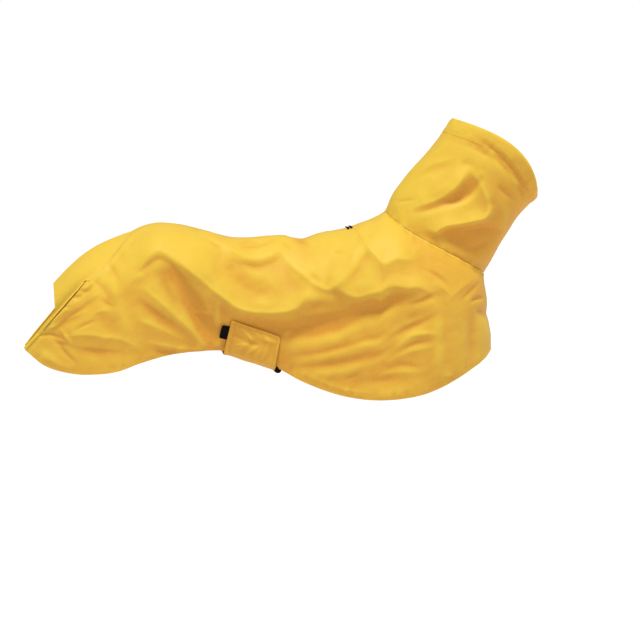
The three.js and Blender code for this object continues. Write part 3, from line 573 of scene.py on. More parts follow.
def along(name, s, first, last, mirror_first=False, mirror_last=False):
    """Value of one column of SECTIONS at the place s between two sections."""
    column = SECTION[name][first:last + 1]
    sign = -1 if name.endswith("Y") or name == "wide" else 1
    before = sign * column[1] if mirror_first else 2 * column[0] - column[1]
    after = sign * column[-2] if mirror_last else 2 * column[-1] - column[-2]
    padded = np.concatenate(([before], column, [after]))
    start = np.clip(np.floor(s).astype(int), first, last - 1)
    k = start - first + 1
    return catmull(padded[k - 1], padded[k], padded[k + 1], padded[k + 2], s - start)


def top_point(s):
    s = np.asarray(s, float)
    parts = []
    for name in ("topX", "topY", "topZ"):
        tail = along(name, s, 0, BACK_TIP, mirror_last=True)
        back = along(name, s, BACK_TIP, NECK_BACK)
        neck = along(name, s, NECK_BACK, NECK_FRONT, True, True)
        parts.append(np.where(s < BACK_TIP, tail, np.where(s < NECK_BACK, back, neck)))
    return np.stack([parts[0], -np.maximum(parts[1], 0), parts[2]], -1)


def hem_point(s):
    s = np.asarray(s, float)
    x, y, z = (along(name, s, 0, NECK_FRONT, mirror_last=True) for name in ("hemX", "hemY", "hemZ"))
    return np.stack([x, -np.maximum(y, 0), z], -1)


def base_point(s, h):
    """The right half before folds, at the share h of the way from its top line to its hem."""
    s, h = np.broadcast_arrays(np.asarray(s, float), np.asarray(h, float))
    top = top_point(s)
    hem = hem_point(s)
    wide = np.maximum(along("wide", s, 0, NECK_FRONT, mirror_last=True), 0)
    level = along("level", s, 0, NECK_FRONT, mirror_last=True)
    point = lerp(top, hem, h[..., None])
    top_share = np.clip(-top[..., 1] / np.maximum(wide, 1e-6), 0, 1)
    cosine = np.sqrt(1 - top_share ** 2) * np.clip(1 - h / level, 0, 1)
    upper = -wide * np.sqrt(np.maximum(1 - cosine ** 2, 0))
    turn = np.clip((h - level) / (1 - level), 0, 1) * math.pi / 2
    lower = lerp(-wide, hem[..., 1], 1 - np.cos(turn))
    point[..., 1] = np.where(h < level, upper, lower)
    return point


def base_normal(s, h):
    step = 0.02
    s, h = np.broadcast_arrays(np.asarray(s, float), np.asarray(h, float))
    forwards = base_point(np.minimum(s + step, NECK_FRONT), h) - base_point(np.maximum(s - step, 0), h)
    downwards = base_point(s, np.minimum(h + step, 1)) - base_point(s, np.maximum(h - step, 0.004))
    return unit(np.cross(downwards, forwards))


LINE_PLACES = np.linspace(0, NECK_FRONT, 2101)
TOP_LENGTHS = runs(top_point(LINE_PLACES))
HEM_LENGTHS = runs(hem_point(LINE_PLACES))


def fold_path(points):
    """Smooth path through a fold's points, with six steps between two of them."""
    points = np.array(points, float)
    padded = np.concatenate((2 * points[:1] - points[1:2], points, 2 * points[-1:] - points[-2:-1]))
    steps = (np.arange(6) / 6)[:, None]
    parts = [catmull(*padded[k:k + 4], steps) for k in range(len(points) - 1)]
    return np.concatenate(parts + [points[-1:]])


def on_side(folds, plane):
    """A table of folds with its picture places turned to places on a side plane."""
    return [
        (left, right, crisp, [(*side_place(u, v, plane), rise) for u, v, rise in path])
        for _, left, right, crisp, path in folds]


def fold_field(folds, x, z, seed):
    """Height of all folds of a table at points of the side view, uneven along each one."""
    flat = np.zeros(np.size(x))
    px = x.reshape(-1)
    pz = z.reshape(-1)
    uneven = 1 + FOLD_UNEVEN * ripple(px, pz, FOLD_CELL, seed)
    for left, right, crisp, points in folds:
        path = fold_path(points)
        reach = (4 if crisp else 2.6) * max(left, right)
        near = np.nonzero((px > path[:, 0].min() - reach) & (px < path[:, 0].max() + reach)
                          & (pz > path[:, 1].min() - reach) & (pz < path[:, 1].max() + reach))[0]
        best = np.full(len(near), 1e9)
        height, side, weights, blended = (np.zeros(len(near)) for _ in range(4))
        wide = max(left, right) >= WIDE_FOLD
        for start, end in zip(path[:-1], path[1:]):
            leg = end - start
            size = math.hypot(leg[0], leg[1])
            from_x = px[near] - start[0]
            from_z = pz[near] - start[1]
            t = np.clip((from_x * leg[0] + from_z * leg[1]) / size ** 2, 0, 1)
            distance = np.hypot(from_x - t * leg[0], from_z - t * leg[1])
            level = start[2] + t * leg[2]
            closer = distance < best
            best[closer] = distance[closer]
            height[closer] = level[closer]
            side[closer] = np.sign(leg[0] * from_z - leg[1] * from_x)[closer]
            if wide:
                weight = np.exp(-distance / FOLD_BLUR) * size
                weights += weight
                blended += weight * level
        if wide:
            spread = np.sqrt(2 * math.pi * FOLD_BLUR * np.maximum(best, 1))
            even = FOLD_BLUR * (np.log(spread) - np.log(weights))
            away = smoothstep(best, 3, 14)
            height = lerp(height, blended / weights, away)
            best = lerp(best, np.maximum(even, 0), away)
        width = np.where(side > 0, left, right)
        if crisp:
            profile = np.exp((CREST_ROUND - np.sqrt(best ** 2 + CREST_ROUND ** 2)) / width)
        else:
            profile = bell(best, width)
        flat[near] += height * uneven[near] * profile
    return flat.reshape(np.shape(x))


class Relief:
    """A table of folds worked out once on a fine net over the side view."""

    def __init__(self, folds, seed):
        ends = np.array([point[:2] for fold in folds for point in fold[3]], float)
        self.low = ends.min(0) - RELIEF_RIM
        high = ends.max(0) + RELIEF_RIM
        lines = [np.arange(self.low[k], high[k], RELIEF_STEP) for k in (0, 1)]
        self.heights = fold_field(folds, *np.meshgrid(*lines, indexing="ij"), seed)

    def at(self, x, z):
        u, v = (np.clip((np.asarray(value, float) - self.low[k]) / RELIEF_STEP, 1, self.heights.shape[k] - 3)
                for k, value in ((0, x), (1, z)))
        return on_net(self.heights, u, v)


BODY_RELIEF = Relief(on_side(BODY_FOLDS, BODY_FOLD_PLANE), RIGHT_SEED)
COLLAR_RELIEF = Relief(on_side(COLLAR_FOLDS, COLLAR_FOLD_PLANE), COLLAR_SEED)


def coat_height(s, point, side):
    """How far folds, seams, hem and gathers lift the cloth at each place."""
    left = side > 0
    x = point[..., 0] - (LEFT_SHIFT_X if left else 0)
    z = point[..., 2] - (LEFT_SHIFT_Z if left else 0)
    seed = LEFT_SEED if left else RIGHT_SEED
    from_top = length(point - top_point(s))
    from_hem = length(point - hem_point(s))
    top_run = np.interp(s, LINE_PLACES, TOP_LENGTHS)
    hem_run = np.interp(s, LINE_PLACES, HEM_LENGTHS)
    front_fade = smoothstep(NECK_FRONT - s, 0, 1)
    folds = BODY_RELIEF.at(x, z) * (LEFT_SHARE if left else 1)
    (broad, broad_cell), (slanted, slanted_cell), (fine, fine_cell) = COAT_SWELLS
    swell = broad * ripple(x, z, broad_cell, seed + 1)
    swell = swell + slanted * ripple(x + z, z - x, slanted_cell, seed + 2)
    swell = swell + fine * ripple(x - 0.6 * z, z, fine_cell, seed + 6)
    height = (folds + swell) * smoothstep(from_top, 0, FOLD_FADE) * front_fade
    neck = smoothstep(s, NECK_BACK - 0.05, NECK_BACK + 0.15)
    back = (1 - smoothstep(from_top, 0, 34)) * smoothstep(s, BACK_TIP, BACK_TIP + 0.5) * (1 - neck)
    chest = smoothstep(s, NECK_FRONT - 2.2, NECK_FRONT)
    for bumps, axis, share in ((BACK_BUMPS, 0, back), (FRONT_BUMPS, 2, chest)):
        height += sum(rise * bell(point[..., axis] - place, wide) for place, rise, wide in bumps) * share
    gather = wave(top_run, GATHER_CELL, seed + 3)
    height += neck * (edge_relief(from_top, NECK_RIDGE) + gather * edge_relief(from_top, NECK_GATHERS))
    height += (1 - neck) * gather * edge_relief(from_top, BACK_GATHERS) + edge_relief(from_top, TOP_GROOVE)
    shoulder = smoothstep(s, NECK_BACK + 0.4, NECK_BACK + 2.4) * front_fade
    rump = smoothstep(s, 0.5, 1.2) * (1 - smoothstep(s, 3.2, 4.2))
    height += shoulder * edge_relief(from_top, SHOULDER_CREST) + rump * edge_relief(from_top, RUMP_CREST)
    pucker = wave(hem_run, PUCKER_CELL, seed + 4)
    height += pucker * edge_relief(from_hem, HEM_PUCKERS) + edge_relief(from_hem, HEM_GROOVE)
    height += wave(hem_run, HEM_WAVE_CELL, seed + 5) * edge_relief(from_hem, HEM_WAVES) * front_fade
    return height + edge_relief(np.clip(s, 0, 1) * REAR_DEPTH, REAR_GROOVE)


def coat_point(s, h, side, out=0.0):
    """Outer face of the coat and its normal; side is -1 for the right half and 1 for the left."""
    s, h = np.broadcast_arrays(np.asarray(s, float), np.asarray(h, float))
    base = base_point(s, h)
    normal = base_normal(s, h)
    point = base + normal * (coat_height(s, base, side) + out)[..., None]
    point[..., 1] = np.minimum(point[..., 1], -HALF_SEAM)
    mirror = np.array([1, -side, 1])
    return point * mirror, normal * mirror


def even_shares(s, weights):
    """Shares of the way down each section whose steps along the cloth are in proportion to weights, and the
    lengths of cloth above them."""
    samples = np.linspace(0, 1, 161) ** 1.8
    lengths = runs(base_point(s[:, None], samples[None, :]), 1)
    marks = np.concatenate(([0], np.cumsum(weights)))
    marks = marks / marks[-1]
    shares = np.stack([np.interp(marks * run[-1], run, samples) for run in lengths])
    return shares, marks * lengths[:, -1:]


def shares_at(s, reach):
    """Shares of the way down at one length of cloth from the top line or, below 0, from the hem."""
    shares, widths = even_shares(s, np.ones(160))
    marks = np.full(len(s), reach) if reach > 0 else widths[:, -1] + reach
    return np.array([np.interp(mark, width, share) for mark, width, share in zip(marks, widths, shares)])


def shares_below_top(s, reach):
    """Shares of the way down at one straight distance below the top line."""
    fine = np.linspace(0, 0.3, 120)
    return np.stack([np.interp(reach, length(base_point(p, fine) - top_point(p)), fine) for p in s])


def panel_place(x, z):
    """Section and share of the way down at which the coat passes points of the side view."""
    x, z = np.broadcast_arrays(np.asarray(x, float), np.asarray(z, float))

    def off_line(s):
        top = top_point(s)
        hem = hem_point(s)
        line = hem - top
        return line[..., 0] * (z - top[..., 2]) - line[..., 2] * (x - top[..., 0])

    low = np.zeros(x.shape)
    high = np.full(x.shape, float(NECK_FRONT))
    rear_sign = np.sign(off_line(low))
    for _ in range(34):
        middle = (low + high) / 2
        same = np.sign(off_line(middle)) == rear_sign
        low = np.where(same, middle, low)
        high = np.where(same, high, middle)
    top = top_point(low)
    hem = hem_point(low)
    return low, (z - top[..., 2]) / (hem[..., 2] - top[..., 2])


def corner_relief(places, shares, side):
    """How far the cloth moves where it rounds the two corners of its top line instead of creasing there."""
    base = base_point(places[:, None], shares)
    even = evened(base, CORNER_PASSES, axes=(0,))
    near = np.maximum(bell(places - BACK_TIP, TIP_ROUND), bell(places - NECK_BACK, NECK_ROUND))
    down = smoothstep(np.linspace(0, 1, base.shape[1]), 0.0, 0.16)
    return (even - base) * (near[:, None] * down[None, :])[..., None] * np.array([1, -side, 1])


# Form of the collar

def ring_half(ring, count):
    """Right half of a ring of the collar, from its back to its front."""
    back_x, back_z, front_x, front_z, wide, bow, skew = ring
    angle = np.linspace(0, math.pi, 97)
    chord = np.array([front_x - back_x, 0, front_z - back_z], float)
    lean = unit(np.array([-chord[2], 0, chord[0]]))
    share = (1 - np.cos(angle)) / 2
    reach = (bow + skew * np.cos(angle)) * np.sin(angle) ** 2
    points = np.array([back_x, 0, back_z], float) + share[:, None] * chord + reach[:, None] * lean
    points[:, 1] = -wide * np.sin(angle)
    return even_line(points, count)


def collar_lines(half):
    """The neck seam and the rings above it, each a closed line."""
    seam = even_line(top_point(np.linspace(NECK_BACK, NECK_FRONT, 141)), half)
    rights = [seam] + [ring_half(ring, half) for ring in COLLAR_RINGS]
    return np.stack([np.concatenate((line, line[-2:0:-1] * ACROSS)) for line in rights])


def collar_base(lines, heights):
    """Points of the collar before folds, by column round the ring and height from seam to rim."""
    ghost_low = 2 * lines[0] - lines[1]
    ghost_high = 2 * lines[-1] - lines[-2]
    padded = np.concatenate((ghost_low[None], lines, ghost_high[None]))
    result = []
    for height in heights:
        start = int(np.clip(np.searchsorted(RING_HEIGHTS, height) - 1, 0, len(RING_HEIGHTS) - 2))
        t = (height - RING_HEIGHTS[start]) / (RING_HEIGHTS[start + 1] - RING_HEIGHTS[start])
        result.append(catmull(*padded[start:start + 4], t))
    return np.stack(result, 1)


# The collar's height is measured halfway along its right side
COLLAR_HEIGHT = length(np.diff(collar_lines(22)[:, 11], axis=0)).sum()
CASING_START = 1 - CASING_WIDTH / COLLAR_HEIGHT
GAP_SHARE = SEAM_GAP / COLLAR_HEIGHT


def ring_run(line, rows):
    """Lengths round a closed line, repeated for each row above it."""
    return runs(np.concatenate((line, line[:1])))[:-1, None] * np.ones(rows)


def collar_grid(half, heights, out, casing=False):
    """Outer face of the collar and its normal, by column round the ring and height from seam to rim."""
    lines = collar_lines(half)
    base = collar_base(lines, heights)
    forwards = np.roll(base, -1, axis=0) - np.roll(base, 1, axis=0)
    upper = collar_base(lines, np.minimum(heights + 0.02, 1))
    upwards = upper - collar_base(lines, np.maximum(heights - 0.02, 0))
    normal = unit(np.cross(forwards, upwards))
    x, y, z = (base[..., k] for k in range(3))
    left = y > 0
    level = heights[None, :] * np.ones(len(base))[:, None]
    up = level * COLLAR_HEIGHT
    above = up - CASING_START * COLLAR_HEIGHT
    fade = smoothstep(level, 0.02, 0.14) * (1 - smoothstep(level, 0.9, 0.99))
    lefts = COLLAR_RELIEF.at(x - LEFT_SHIFT_X * LEFT_COLLAR_SHIFT, z - LEFT_SHIFT_Z) * LEFT_SHARE
    height = np.where(left, lefts, COLLAR_RELIEF.at(x, z)) * smoothstep(np.abs(y), 0, 44) * fade
    turn = np.arange(len(base))[:, None] / len(base) * 2 * math.pi
    height += 0.7 * ripple(30 * np.cos(turn) + 90, up + 30 * np.sin(turn), 30, 41) * fade
    run = ring_run(lines[0], len(heights))
    rim_run = ring_run(lines[-1], len(heights))
    gathers = np.where(left, wave(rim_run, RIM_CELL, 44), wave(rim_run, RIM_CELL, 45))
    if casing:
        height += gathers * edge_relief(above, CASING_GATHERS) + 0.35 * wave(rim_run, 9, 47)
        creases = wave(above + 60 + 5 * wave(rim_run, 29, 48), 5.2, 49)
        height += creases * (0.55 + 0.45 * wave(rim_run, 17, 47)) * smoothstep(above, 1, 4)
        height += edge_relief(above, CASING_GROOVE) + edge_relief(COLLAR_HEIGHT - up, RIM_GROOVE)
    else:
        height += gathers * edge_relief(-above, TUBE_GATHERS) + edge_relief(-above, TUBE_RIDGE)
        uneven = 0.55 + 0.6 * wave(rim_run, 19, 50)
        height += uneven * edge_relief(-above - 2 * wave(rim_run, 31, 53), TUBE_VALLEY)
        height += wave(run, SEAM_CELL, 46) * edge_relief(up, SEAM_GATHERS) + edge_relief(up, SEAM_GROOVE)
    return base + normal * (height + out)[..., None], normal


# Form of the tail cover

def tail_point(across, back):
    across, back = np.broadcast_arrays(np.asarray(across, float), np.asarray(back, float))
    v = np.abs(across)
    s = lerp(BACK_TIP, 0, v)
    seam = top_point(s)
    forwards = top_point(np.minimum(s + 0.05, BACK_TIP)) - top_point(np.maximum(s - 0.05, 0))
    rearwards = unit(np.cross(forwards, base_normal(s, 0)))
    rearwards = rearwards * np.where(rearwards[..., :1] > 0, -1, 1)
    seam = seam + rearwards * TAIL_SEAM_GAP
    turn = v * math.pi / 2
    end = np.stack([
        lerp(TAIL_END[0], TAIL_CORNER[0], 1 - np.cos(turn)),
        -TAIL_CORNER[2] * np.sin(turn),
        lerp(TAIL_END[1], TAIL_CORNER[1], 1 - np.cos(turn)),
    ], -1)
    point = lerp(seam, end, back[..., None])
    arch = TAIL_ARCH * np.sin(math.pi * back) * np.cos(turn)
    delay = TAIL_DELAY[1] * np.sin(math.pi * np.minimum(back / TAIL_DELAY[0], 1)) * v ** 3
    point[..., 0] -= arch * 0.5 + delay
    point[..., 2] += arch * 0.85 + delay
    point[..., 1] += TAIL_STEP[1] * smoothstep(back, 0, TAIL_STEP[0]) * smoothstep(v, 0.55, 0.95)
    point[..., 1] *= np.where(across > 0, -1, 1)
    return point


# Form of the belly strap and what lies on the coat

def on_panel(x, z, side, out):
    """Outer face of a piece lying on the coat at points of the side view."""
    s, h = panel_place(x, z)
    return coat_point(s, h, side, out)


def strap_line(top, fold, shares):
    """Side view places at shares of the way from the strap's end to its fold under the belly."""
    return lerp(top, fold, shares[:, None]).T


def strap_points(columns, rows):
    """Outer face of the strap, from its closed end on the right side to its seam on the left side."""
    lines = []
    for w in np.linspace(0, 1, columns):
        top = lerp(*STRAP_TOP, w)
        fold = lerp(*STRAP_FOLD, w)
        shares = np.linspace(0, 1, 201)
        _, down = panel_place(*strap_line(top, fold, shares))
        hem_share = shares[down <= 0.995][-1]
        near_corner = np.clip((w - 1 + STRAP_CORNER) / STRAP_CORNER, 0, 1)
        start = STRAP_CORNER_CUT * (1 - math.sqrt(1 - near_corner ** 2))
        near, _ = on_panel(*strap_line(top, fold, np.linspace(start, hem_share, 40)), -1, STRAP_OUT)
        far_share = np.clip(1 - STRAP_FAR_LAP / np.hypot(*(top - fold)), 0, hem_share)
        far, _ = on_panel(*strap_line(top, fold, np.linspace(hem_share, far_share, 16)), 1, STRAP_OUT)
        share = np.linspace(0, 1, 15)[1:-1]
        under = lerp(near[-1], far[0], share[:, None])
        turn = bell(np.minimum(share, 1 - share), 0.12)
        under[:, 2] -= STRAP_TURN + STRAP_SAG * np.sin(math.pi * share) + STRAP_TUCK * (1 - turn)
        lines.append(even_line(np.concatenate((near, under, far)), rows - 1))
    return evened(np.stack(lines), 3, axes=(1,))


def slit_line(x):
    """Outer face of the coat across the back at one place along it, its normal and the distance across."""
    back = (LINE_PLACES >= BACK_TIP) & (LINE_PLACES <= NECK_BACK)
    s = np.interp(x, top_point(LINE_PLACES)[back, 0], LINE_PLACES[back])
    shares = np.linspace(0, 0.5, 500)
    distance = np.linspace(-1, 1, 61) * SLIT_LENGTH / 2
    h = np.interp(np.abs(distance), -base_point(s, shares)[:, 1], shares)
    point, normal = coat_point(s, h, -1)
    middle = np.abs(distance) < 0.3
    point[middle, 1] = 0
    normal[middle, 1] = 0
    mirror = np.where(distance[:, None] > 0, ACROSS, 1)
    return point * mirror, unit(normal) * mirror, distance


# Mesh making

def grid_normals(points):
    return unit(np.cross(np.gradient(points, axis=0), np.gradient(points, axis=1)))


def ring_normals(points):
    return grid_normals(np.concatenate((points, points[:1])))[:-1]


def shown(name, mesh_maker, cloth, nodes):
    """A finished piece of one cloth or thread, which rides on the root and may replace nodes."""
    mesh = bpy.data.meshes.new(name)
    mesh_maker.to_mesh(mesh)
    mesh_maker.free()
    mesh.polygons.foreach_set("use_smooth", [True] * len(mesh.polygons))
    mesh.materials.append(material(cloth))
    piece = bpy.data.objects.new(name, mesh)
    bpy.context.scene.collection.objects.link(piece)
    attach(piece, "root")
    if nodes:
        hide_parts(*nodes)
    return piece


def cloth_piece(name, points, wall, cloth="coat_cloth", nodes=(), turned=False, looped=False, tone=None,
                rim=0.3):
    """Thin shell from a grid of points on its outer face, with rounded rims."""
    if tone is None:
        tone = np.full(points.shape[:2], 0.5)
    if looped:
        points = np.concatenate((points, points[:1]))
        tone = np.concatenate((tone, tone[:1]))
    columns, rows = points.shape[:2]
    weave = np.stack([runs(points, 0), runs(points, 1)], -1) * MM
    maker = bmesh.new()
    bmesh.ops.create_grid(maker, x_segments=columns - 1, y_segments=rows - 1, size=1)
    uvs = maker.loops.layers.uv.new("cloth")
    # Each point's share of painted light in the cloth's colour, from 0 for painted shade to 1 for painted
    # light
    painted_lights = maker.verts.layers.float.new("tone")
    if len(maker.verts) != columns * rows:
        raise RuntimeError(f"{name}: the grid has {len(maker.verts)} points, not {columns * rows}")
    cells = {}
    for vert in maker.verts:
        i = round((vert.co.x + 1) / 2 * (columns - 1))
        j = round((vert.co.y + 1) / 2 * (rows - 1))
        cells[vert.index] = (i, j)
        vert.co = points[i, j] * MM
        vert[painted_lights] = float(tone[i, j])
    for face in maker.faces:
        for loop in face.loops:
            loop[uvs].uv = weave[cells[loop.vert.index]]
    if looped:
        bmesh.ops.remove_doubles(maker, verts=maker.verts, dist=1e-6)
    if turned:
        bmesh.ops.reverse_faces(maker, faces=maker.faces)
    piece = shown(name, maker, cloth, nodes)
    shell = piece.modifiers.new("wall", "SOLIDIFY")
    shell.thickness = wall * MM
    shell.offset = -1
    shell.use_quality_normals = True
    soft = piece.modifiers.new("rim", "BEVEL")
    soft.width = rim * MM
    soft.segments = 2
    soft.limit_method = "ANGLE"
    soft.angle_limit = math.radians(58)
    return piece


def thread_piece(name, lines, stitch):
    """Run of stitches along lines of points and normals, each stitch a small pill lying on the cloth."""
    maker = bmesh.new()
    thin = STITCH_WIDTH / 2
    for points, normals in lines:
        run = runs(points)
        place = STITCH_GAP
        while place + stitch < run[-1]:
            start, end = (at_runs(mark, run, points) for mark in (place, place + stitch))
            up = at_runs(place + stitch / 2, run, normals)
            centre = Vector((start + end) / 2 + unit(up) * STITCH_WIDTH * STITCH_LIFT) * MM
            direction = Vector(end - start).normalized()
            side = direction.cross(Vector(up).normalized()).normalized()
            turn = Matrix((direction, side, side.cross(direction))).transposed().to_4x4()
            size = Matrix.Diagonal((stitch / 2 * MM, thin * MM, thin * MM, 1))
            bmesh.ops.create_icosphere(
                maker, subdivisions=1, radius=1, matrix=Matrix.Translation(centre) @ turn @ size)
            place += stitch + STITCH_GAP
    return shown(name, maker, "thread", ())


# Materials

class Sum:
    """A shader socket on which sums can be written."""

    def __init__(self, shader, socket):
        self.shader = shader
        self.socket = socket

    def math(self, operation, first, second):
        return self.shader.add("ShaderNodeMath", {"operation": operation}, first, second)

    def __add__(self, other):
        return self.math("ADD", self, other)

    def __sub__(self, other):
        return self.math("SUBTRACT", self, other)

    def __mul__(self, other):
        return self.math("MULTIPLY", self, other)


class Shader:
    """A new material whose nodes are added one by one."""

    def __init__(self, name):
        self.material = bpy.data.materials.new(name)
        self.material.use_nodes = True
        self.tree = self.material.node_tree
        self.surface = self.tree.nodes["Principled BSDF"]

    def add(self, kind, settings=None, *values, output=0, **named):
        node = self.tree.nodes.new(kind)
        for key, value in (settings or {}).items():
            if key == "stops":
                ramp = node.color_ramp
                while len(ramp.elements) < len(value):
                    ramp.elements.new(1)
                for element, (place, colour) in zip(ramp.elements, value):
                    element.position = place
                    element.color = colour
            else:
                setattr(node, key, value)
        for index, value in enumerate(values):
            self.feed(node.inputs[index], value)
        for key, value in named.items():
            self.feed(node.inputs[key.replace("_", " ")], value)
        return Sum(self, node.outputs[output])

    def feed(self, socket, value):
        if isinstance(value, Sum):
            self.tree.links.new(value.socket, socket)
        elif value is not None:
            socket.default_value = value

    def blend(self, factor, first, second):
        node = self.tree.nodes.new("ShaderNodeMix")
        node.data_type = "RGBA"
        self.feed(node.inputs[0], factor)
        self.feed(node.inputs[6], first)
        self.feed(node.inputs[7], second)
        return Sum(self, node.outputs[2])

    def between(self, value, low, high):
        """Share from 0 to 1 of the way of a value between two others."""
        return self.add("ShaderNodeMapRange", None, value, low, high, 0.0, 1.0)

    def finish(self, values):
        for name, value in values.items():
            self.feed(self.surface.inputs[name], value)
        return self.material


def colour_of(prop):
    return (prop[0], prop[1], prop[2], 1)


def shaded(colour, factor, lift=0):
    return tuple(min(c * factor + lift, 1) for c in colour[:3]) + (1,)


def woven(shader, pitch):
    """Height of a plain weave along the cloth, from 0 to 1."""
    place = shader.add("ShaderNodeUVMap", {"uv_map": "cloth"})
    threads = []
    for axis in (0, 1):
        run = shader.add("ShaderNodeSeparateXYZ", None, place, output=axis)
        threads.append(shader.add("ShaderNodeMath", {"operation": "SINE"}, run * (2 * math.pi / pitch)))
    return threads[0] * threads[1] * 0.5 + 0.5


def coated_cloth(name, light, deep, scale):
    """Coated rain cloth: fine plain weave, soft crumple, low sheen, a colour blended from a painted shade
    colour to a painted light colour by each point's painted light share, and slightly uneven colour.
    """
    shader = Shader(name)
    place = shader.add("ShaderNodeTexCoord", output=3)
    broad = shader.add("ShaderNodeTexNoise", None, place, Scale=9.0, Detail=3.0, Roughness=0.5)
    fine = shader.add("ShaderNodeTexNoise", None, place, Scale=55.0 * scale, Detail=5.0, Roughness=0.55)
    grain = shader.add("ShaderNodeTexNoise", None, place, Scale=420.0, Detail=3.0, Roughness=0.6)
    # Painted light and painted shade: the point attribute picks between the painted shade colour and the
    # painted light colour, with some random unevenness
    tone = shader.add("ShaderNodeAttribute", {"attribute_name": "tone"}, output=2)
    lit = shader.between(tone + (broad - 0.5) * 0.25 + (fine - 0.5) * 0.10, 0.0, 1.0)
    worn = shader.between(grain, 0.42, 0.75)
    colour = shader.blend(worn * 0.16, shader.blend(lit, deep, light), shaded(light, 1.12))
    crumple = shader.add("ShaderNodeBump", None, Strength=0.55, Distance=0.0018, Height=fine)
    surface = shader.add(
        "ShaderNodeBump", None, Strength=0.20, Distance=0.00012, Height=woven(shader, CLOTH_PITCH),
        Normal=crumple)
    return shader.finish({
        "Base Color": colour, "Roughness": shader.between(fine, -1.6, 2.2) * 0.34 + 0.34, "Normal": surface,
        "Specular IOR Level": 0.2})


def tape(name, colour, pitch):
    """Woven black tape or label with a visible rib."""
    shader = Shader(name)
    weave = woven(shader, pitch)
    place = shader.add("ShaderNodeTexCoord", output=3)
    lint = shader.add("ShaderNodeTexNoise", None, place, Scale=900.0, Detail=2.0)
    mixed = shader.blend(weave * lint, colour, shaded(colour, 2.2, 0.003))
    bump = shader.add("ShaderNodeBump", None, Strength=0.7, Distance=0.0002, Height=weave)
    return shader.finish({
        "Base Color": mixed, "Roughness": 0.8, "Normal": bump, "Specular IOR Level": 0.06})


def thread_cloth(name, colour):
    """Twisted sewing thread."""
    shader = Shader(name)
    place = shader.add("ShaderNodeTexCoord", output=3)
    twist = shader.add("ShaderNodeTexNoise", None, place, Scale=2500.0, Detail=2.0)
    mixed = shader.blend(twist, colour, shaded(colour, 1.25))
    bump = shader.add("ShaderNodeBump", None, Strength=0.6, Distance=0.0001, Height=twist)
    return shader.finish({
        "Base Color": mixed, "Roughness": 0.7, "Normal": bump, "Specular IOR Level": 0.1})


# Each material: its maker, its name, the colours that it takes and its crumple's scale or its weave's pitch
MATERIALS = {
    "coat_cloth": (coated_cloth, "yellow_coated_cloth", ("light", "deep"), 1.0),
    "strap_cloth": (coated_cloth, "yellow_strap_cloth", ("light", "deep"), 1.6),
    "black_label": (tape, "black_woven_label", ("black",), 0.0007),
    "black_tape": (tape, "black_binding_tape", ("black",), 0.0010),
    "thread": (thread_cloth, "yellow_thread", ("thread",)),
    "seam_and_shadow_thread": (thread_cloth, "brown_seam_thread", ("brown",)),
}
MADE = {}


def material(name):
    """The named material, made the first time that it is asked for."""
    if name not in MADE:
        maker, title, colours, *sizes = MATERIALS[name]
        props = bpy.context.scene.coat_colours
        MADE[name] = maker(title, *(colour_of(getattr(props, colour)) for colour in colours), *sizes)
    return MADE[name]


def painted_light_of(points, normals):
    """Share of painted light: painted light where the cloth faces up and a little forward and on its crests,
    painted shade in its hollows.
    """
    facing = smoothstep(normals[..., 2] + 0.1 * normals[..., 0], -0.5, 0.52)
    fine = ((points - evened(points, FINE_PASSES)) * normals).sum(-1) / 0.8
    broad = ((points - evened(points, BROAD_PASSES)) * normals).sum(-1) / 2.6
    tone = 0.06 + 0.76 * facing + 0.22 * np.clip(fine, -1, 1)
    return np.clip(tone + 0.28 * np.clip(broad, 0, 0.6) - 0.42 * np.clip(-broad, 0, 1), 0, 1)


def with_painted_patches(tone, points, places):
    """The painted light with its listed patches of painted shade and painted light added."""
    for _, x, z, long, tall, amount in places:
        tone = tone + amount * bell(points[..., 0] - x, long) * bell(points[..., 2] - z, tall)
    return np.clip(tone, 0, 1)


# Properties

class CoatSizes(bpy.types.PropertyGroup):
    """Sizes of the coat's cloth and stitches."""

    cloth_wall: bpy.props.FloatProperty(
        name="Cloth wall", description="Thickness of the coat's cloth", default=0.0012,
        min=0.0005, max=0.003, unit="LENGTH", precision=4)
    strap_wall: bpy.props.FloatProperty(
        name="Strap wall", description="Thickness of the strap's two layers", default=0.0021,
        min=0.001, max=0.004, unit="LENGTH", precision=4)
    casing_wall: bpy.props.FloatProperty(
        name="Casing wall", description="Thickness of the rim with its elastic", default=0.0029,
        min=0.001, max=0.005, unit="LENGTH", precision=4)
    stitch: bpy.props.FloatProperty(
        name="Stitch", description="Length of one stitch", default=0.0031,
        min=0.001, max=0.008, unit="LENGTH", precision=4)


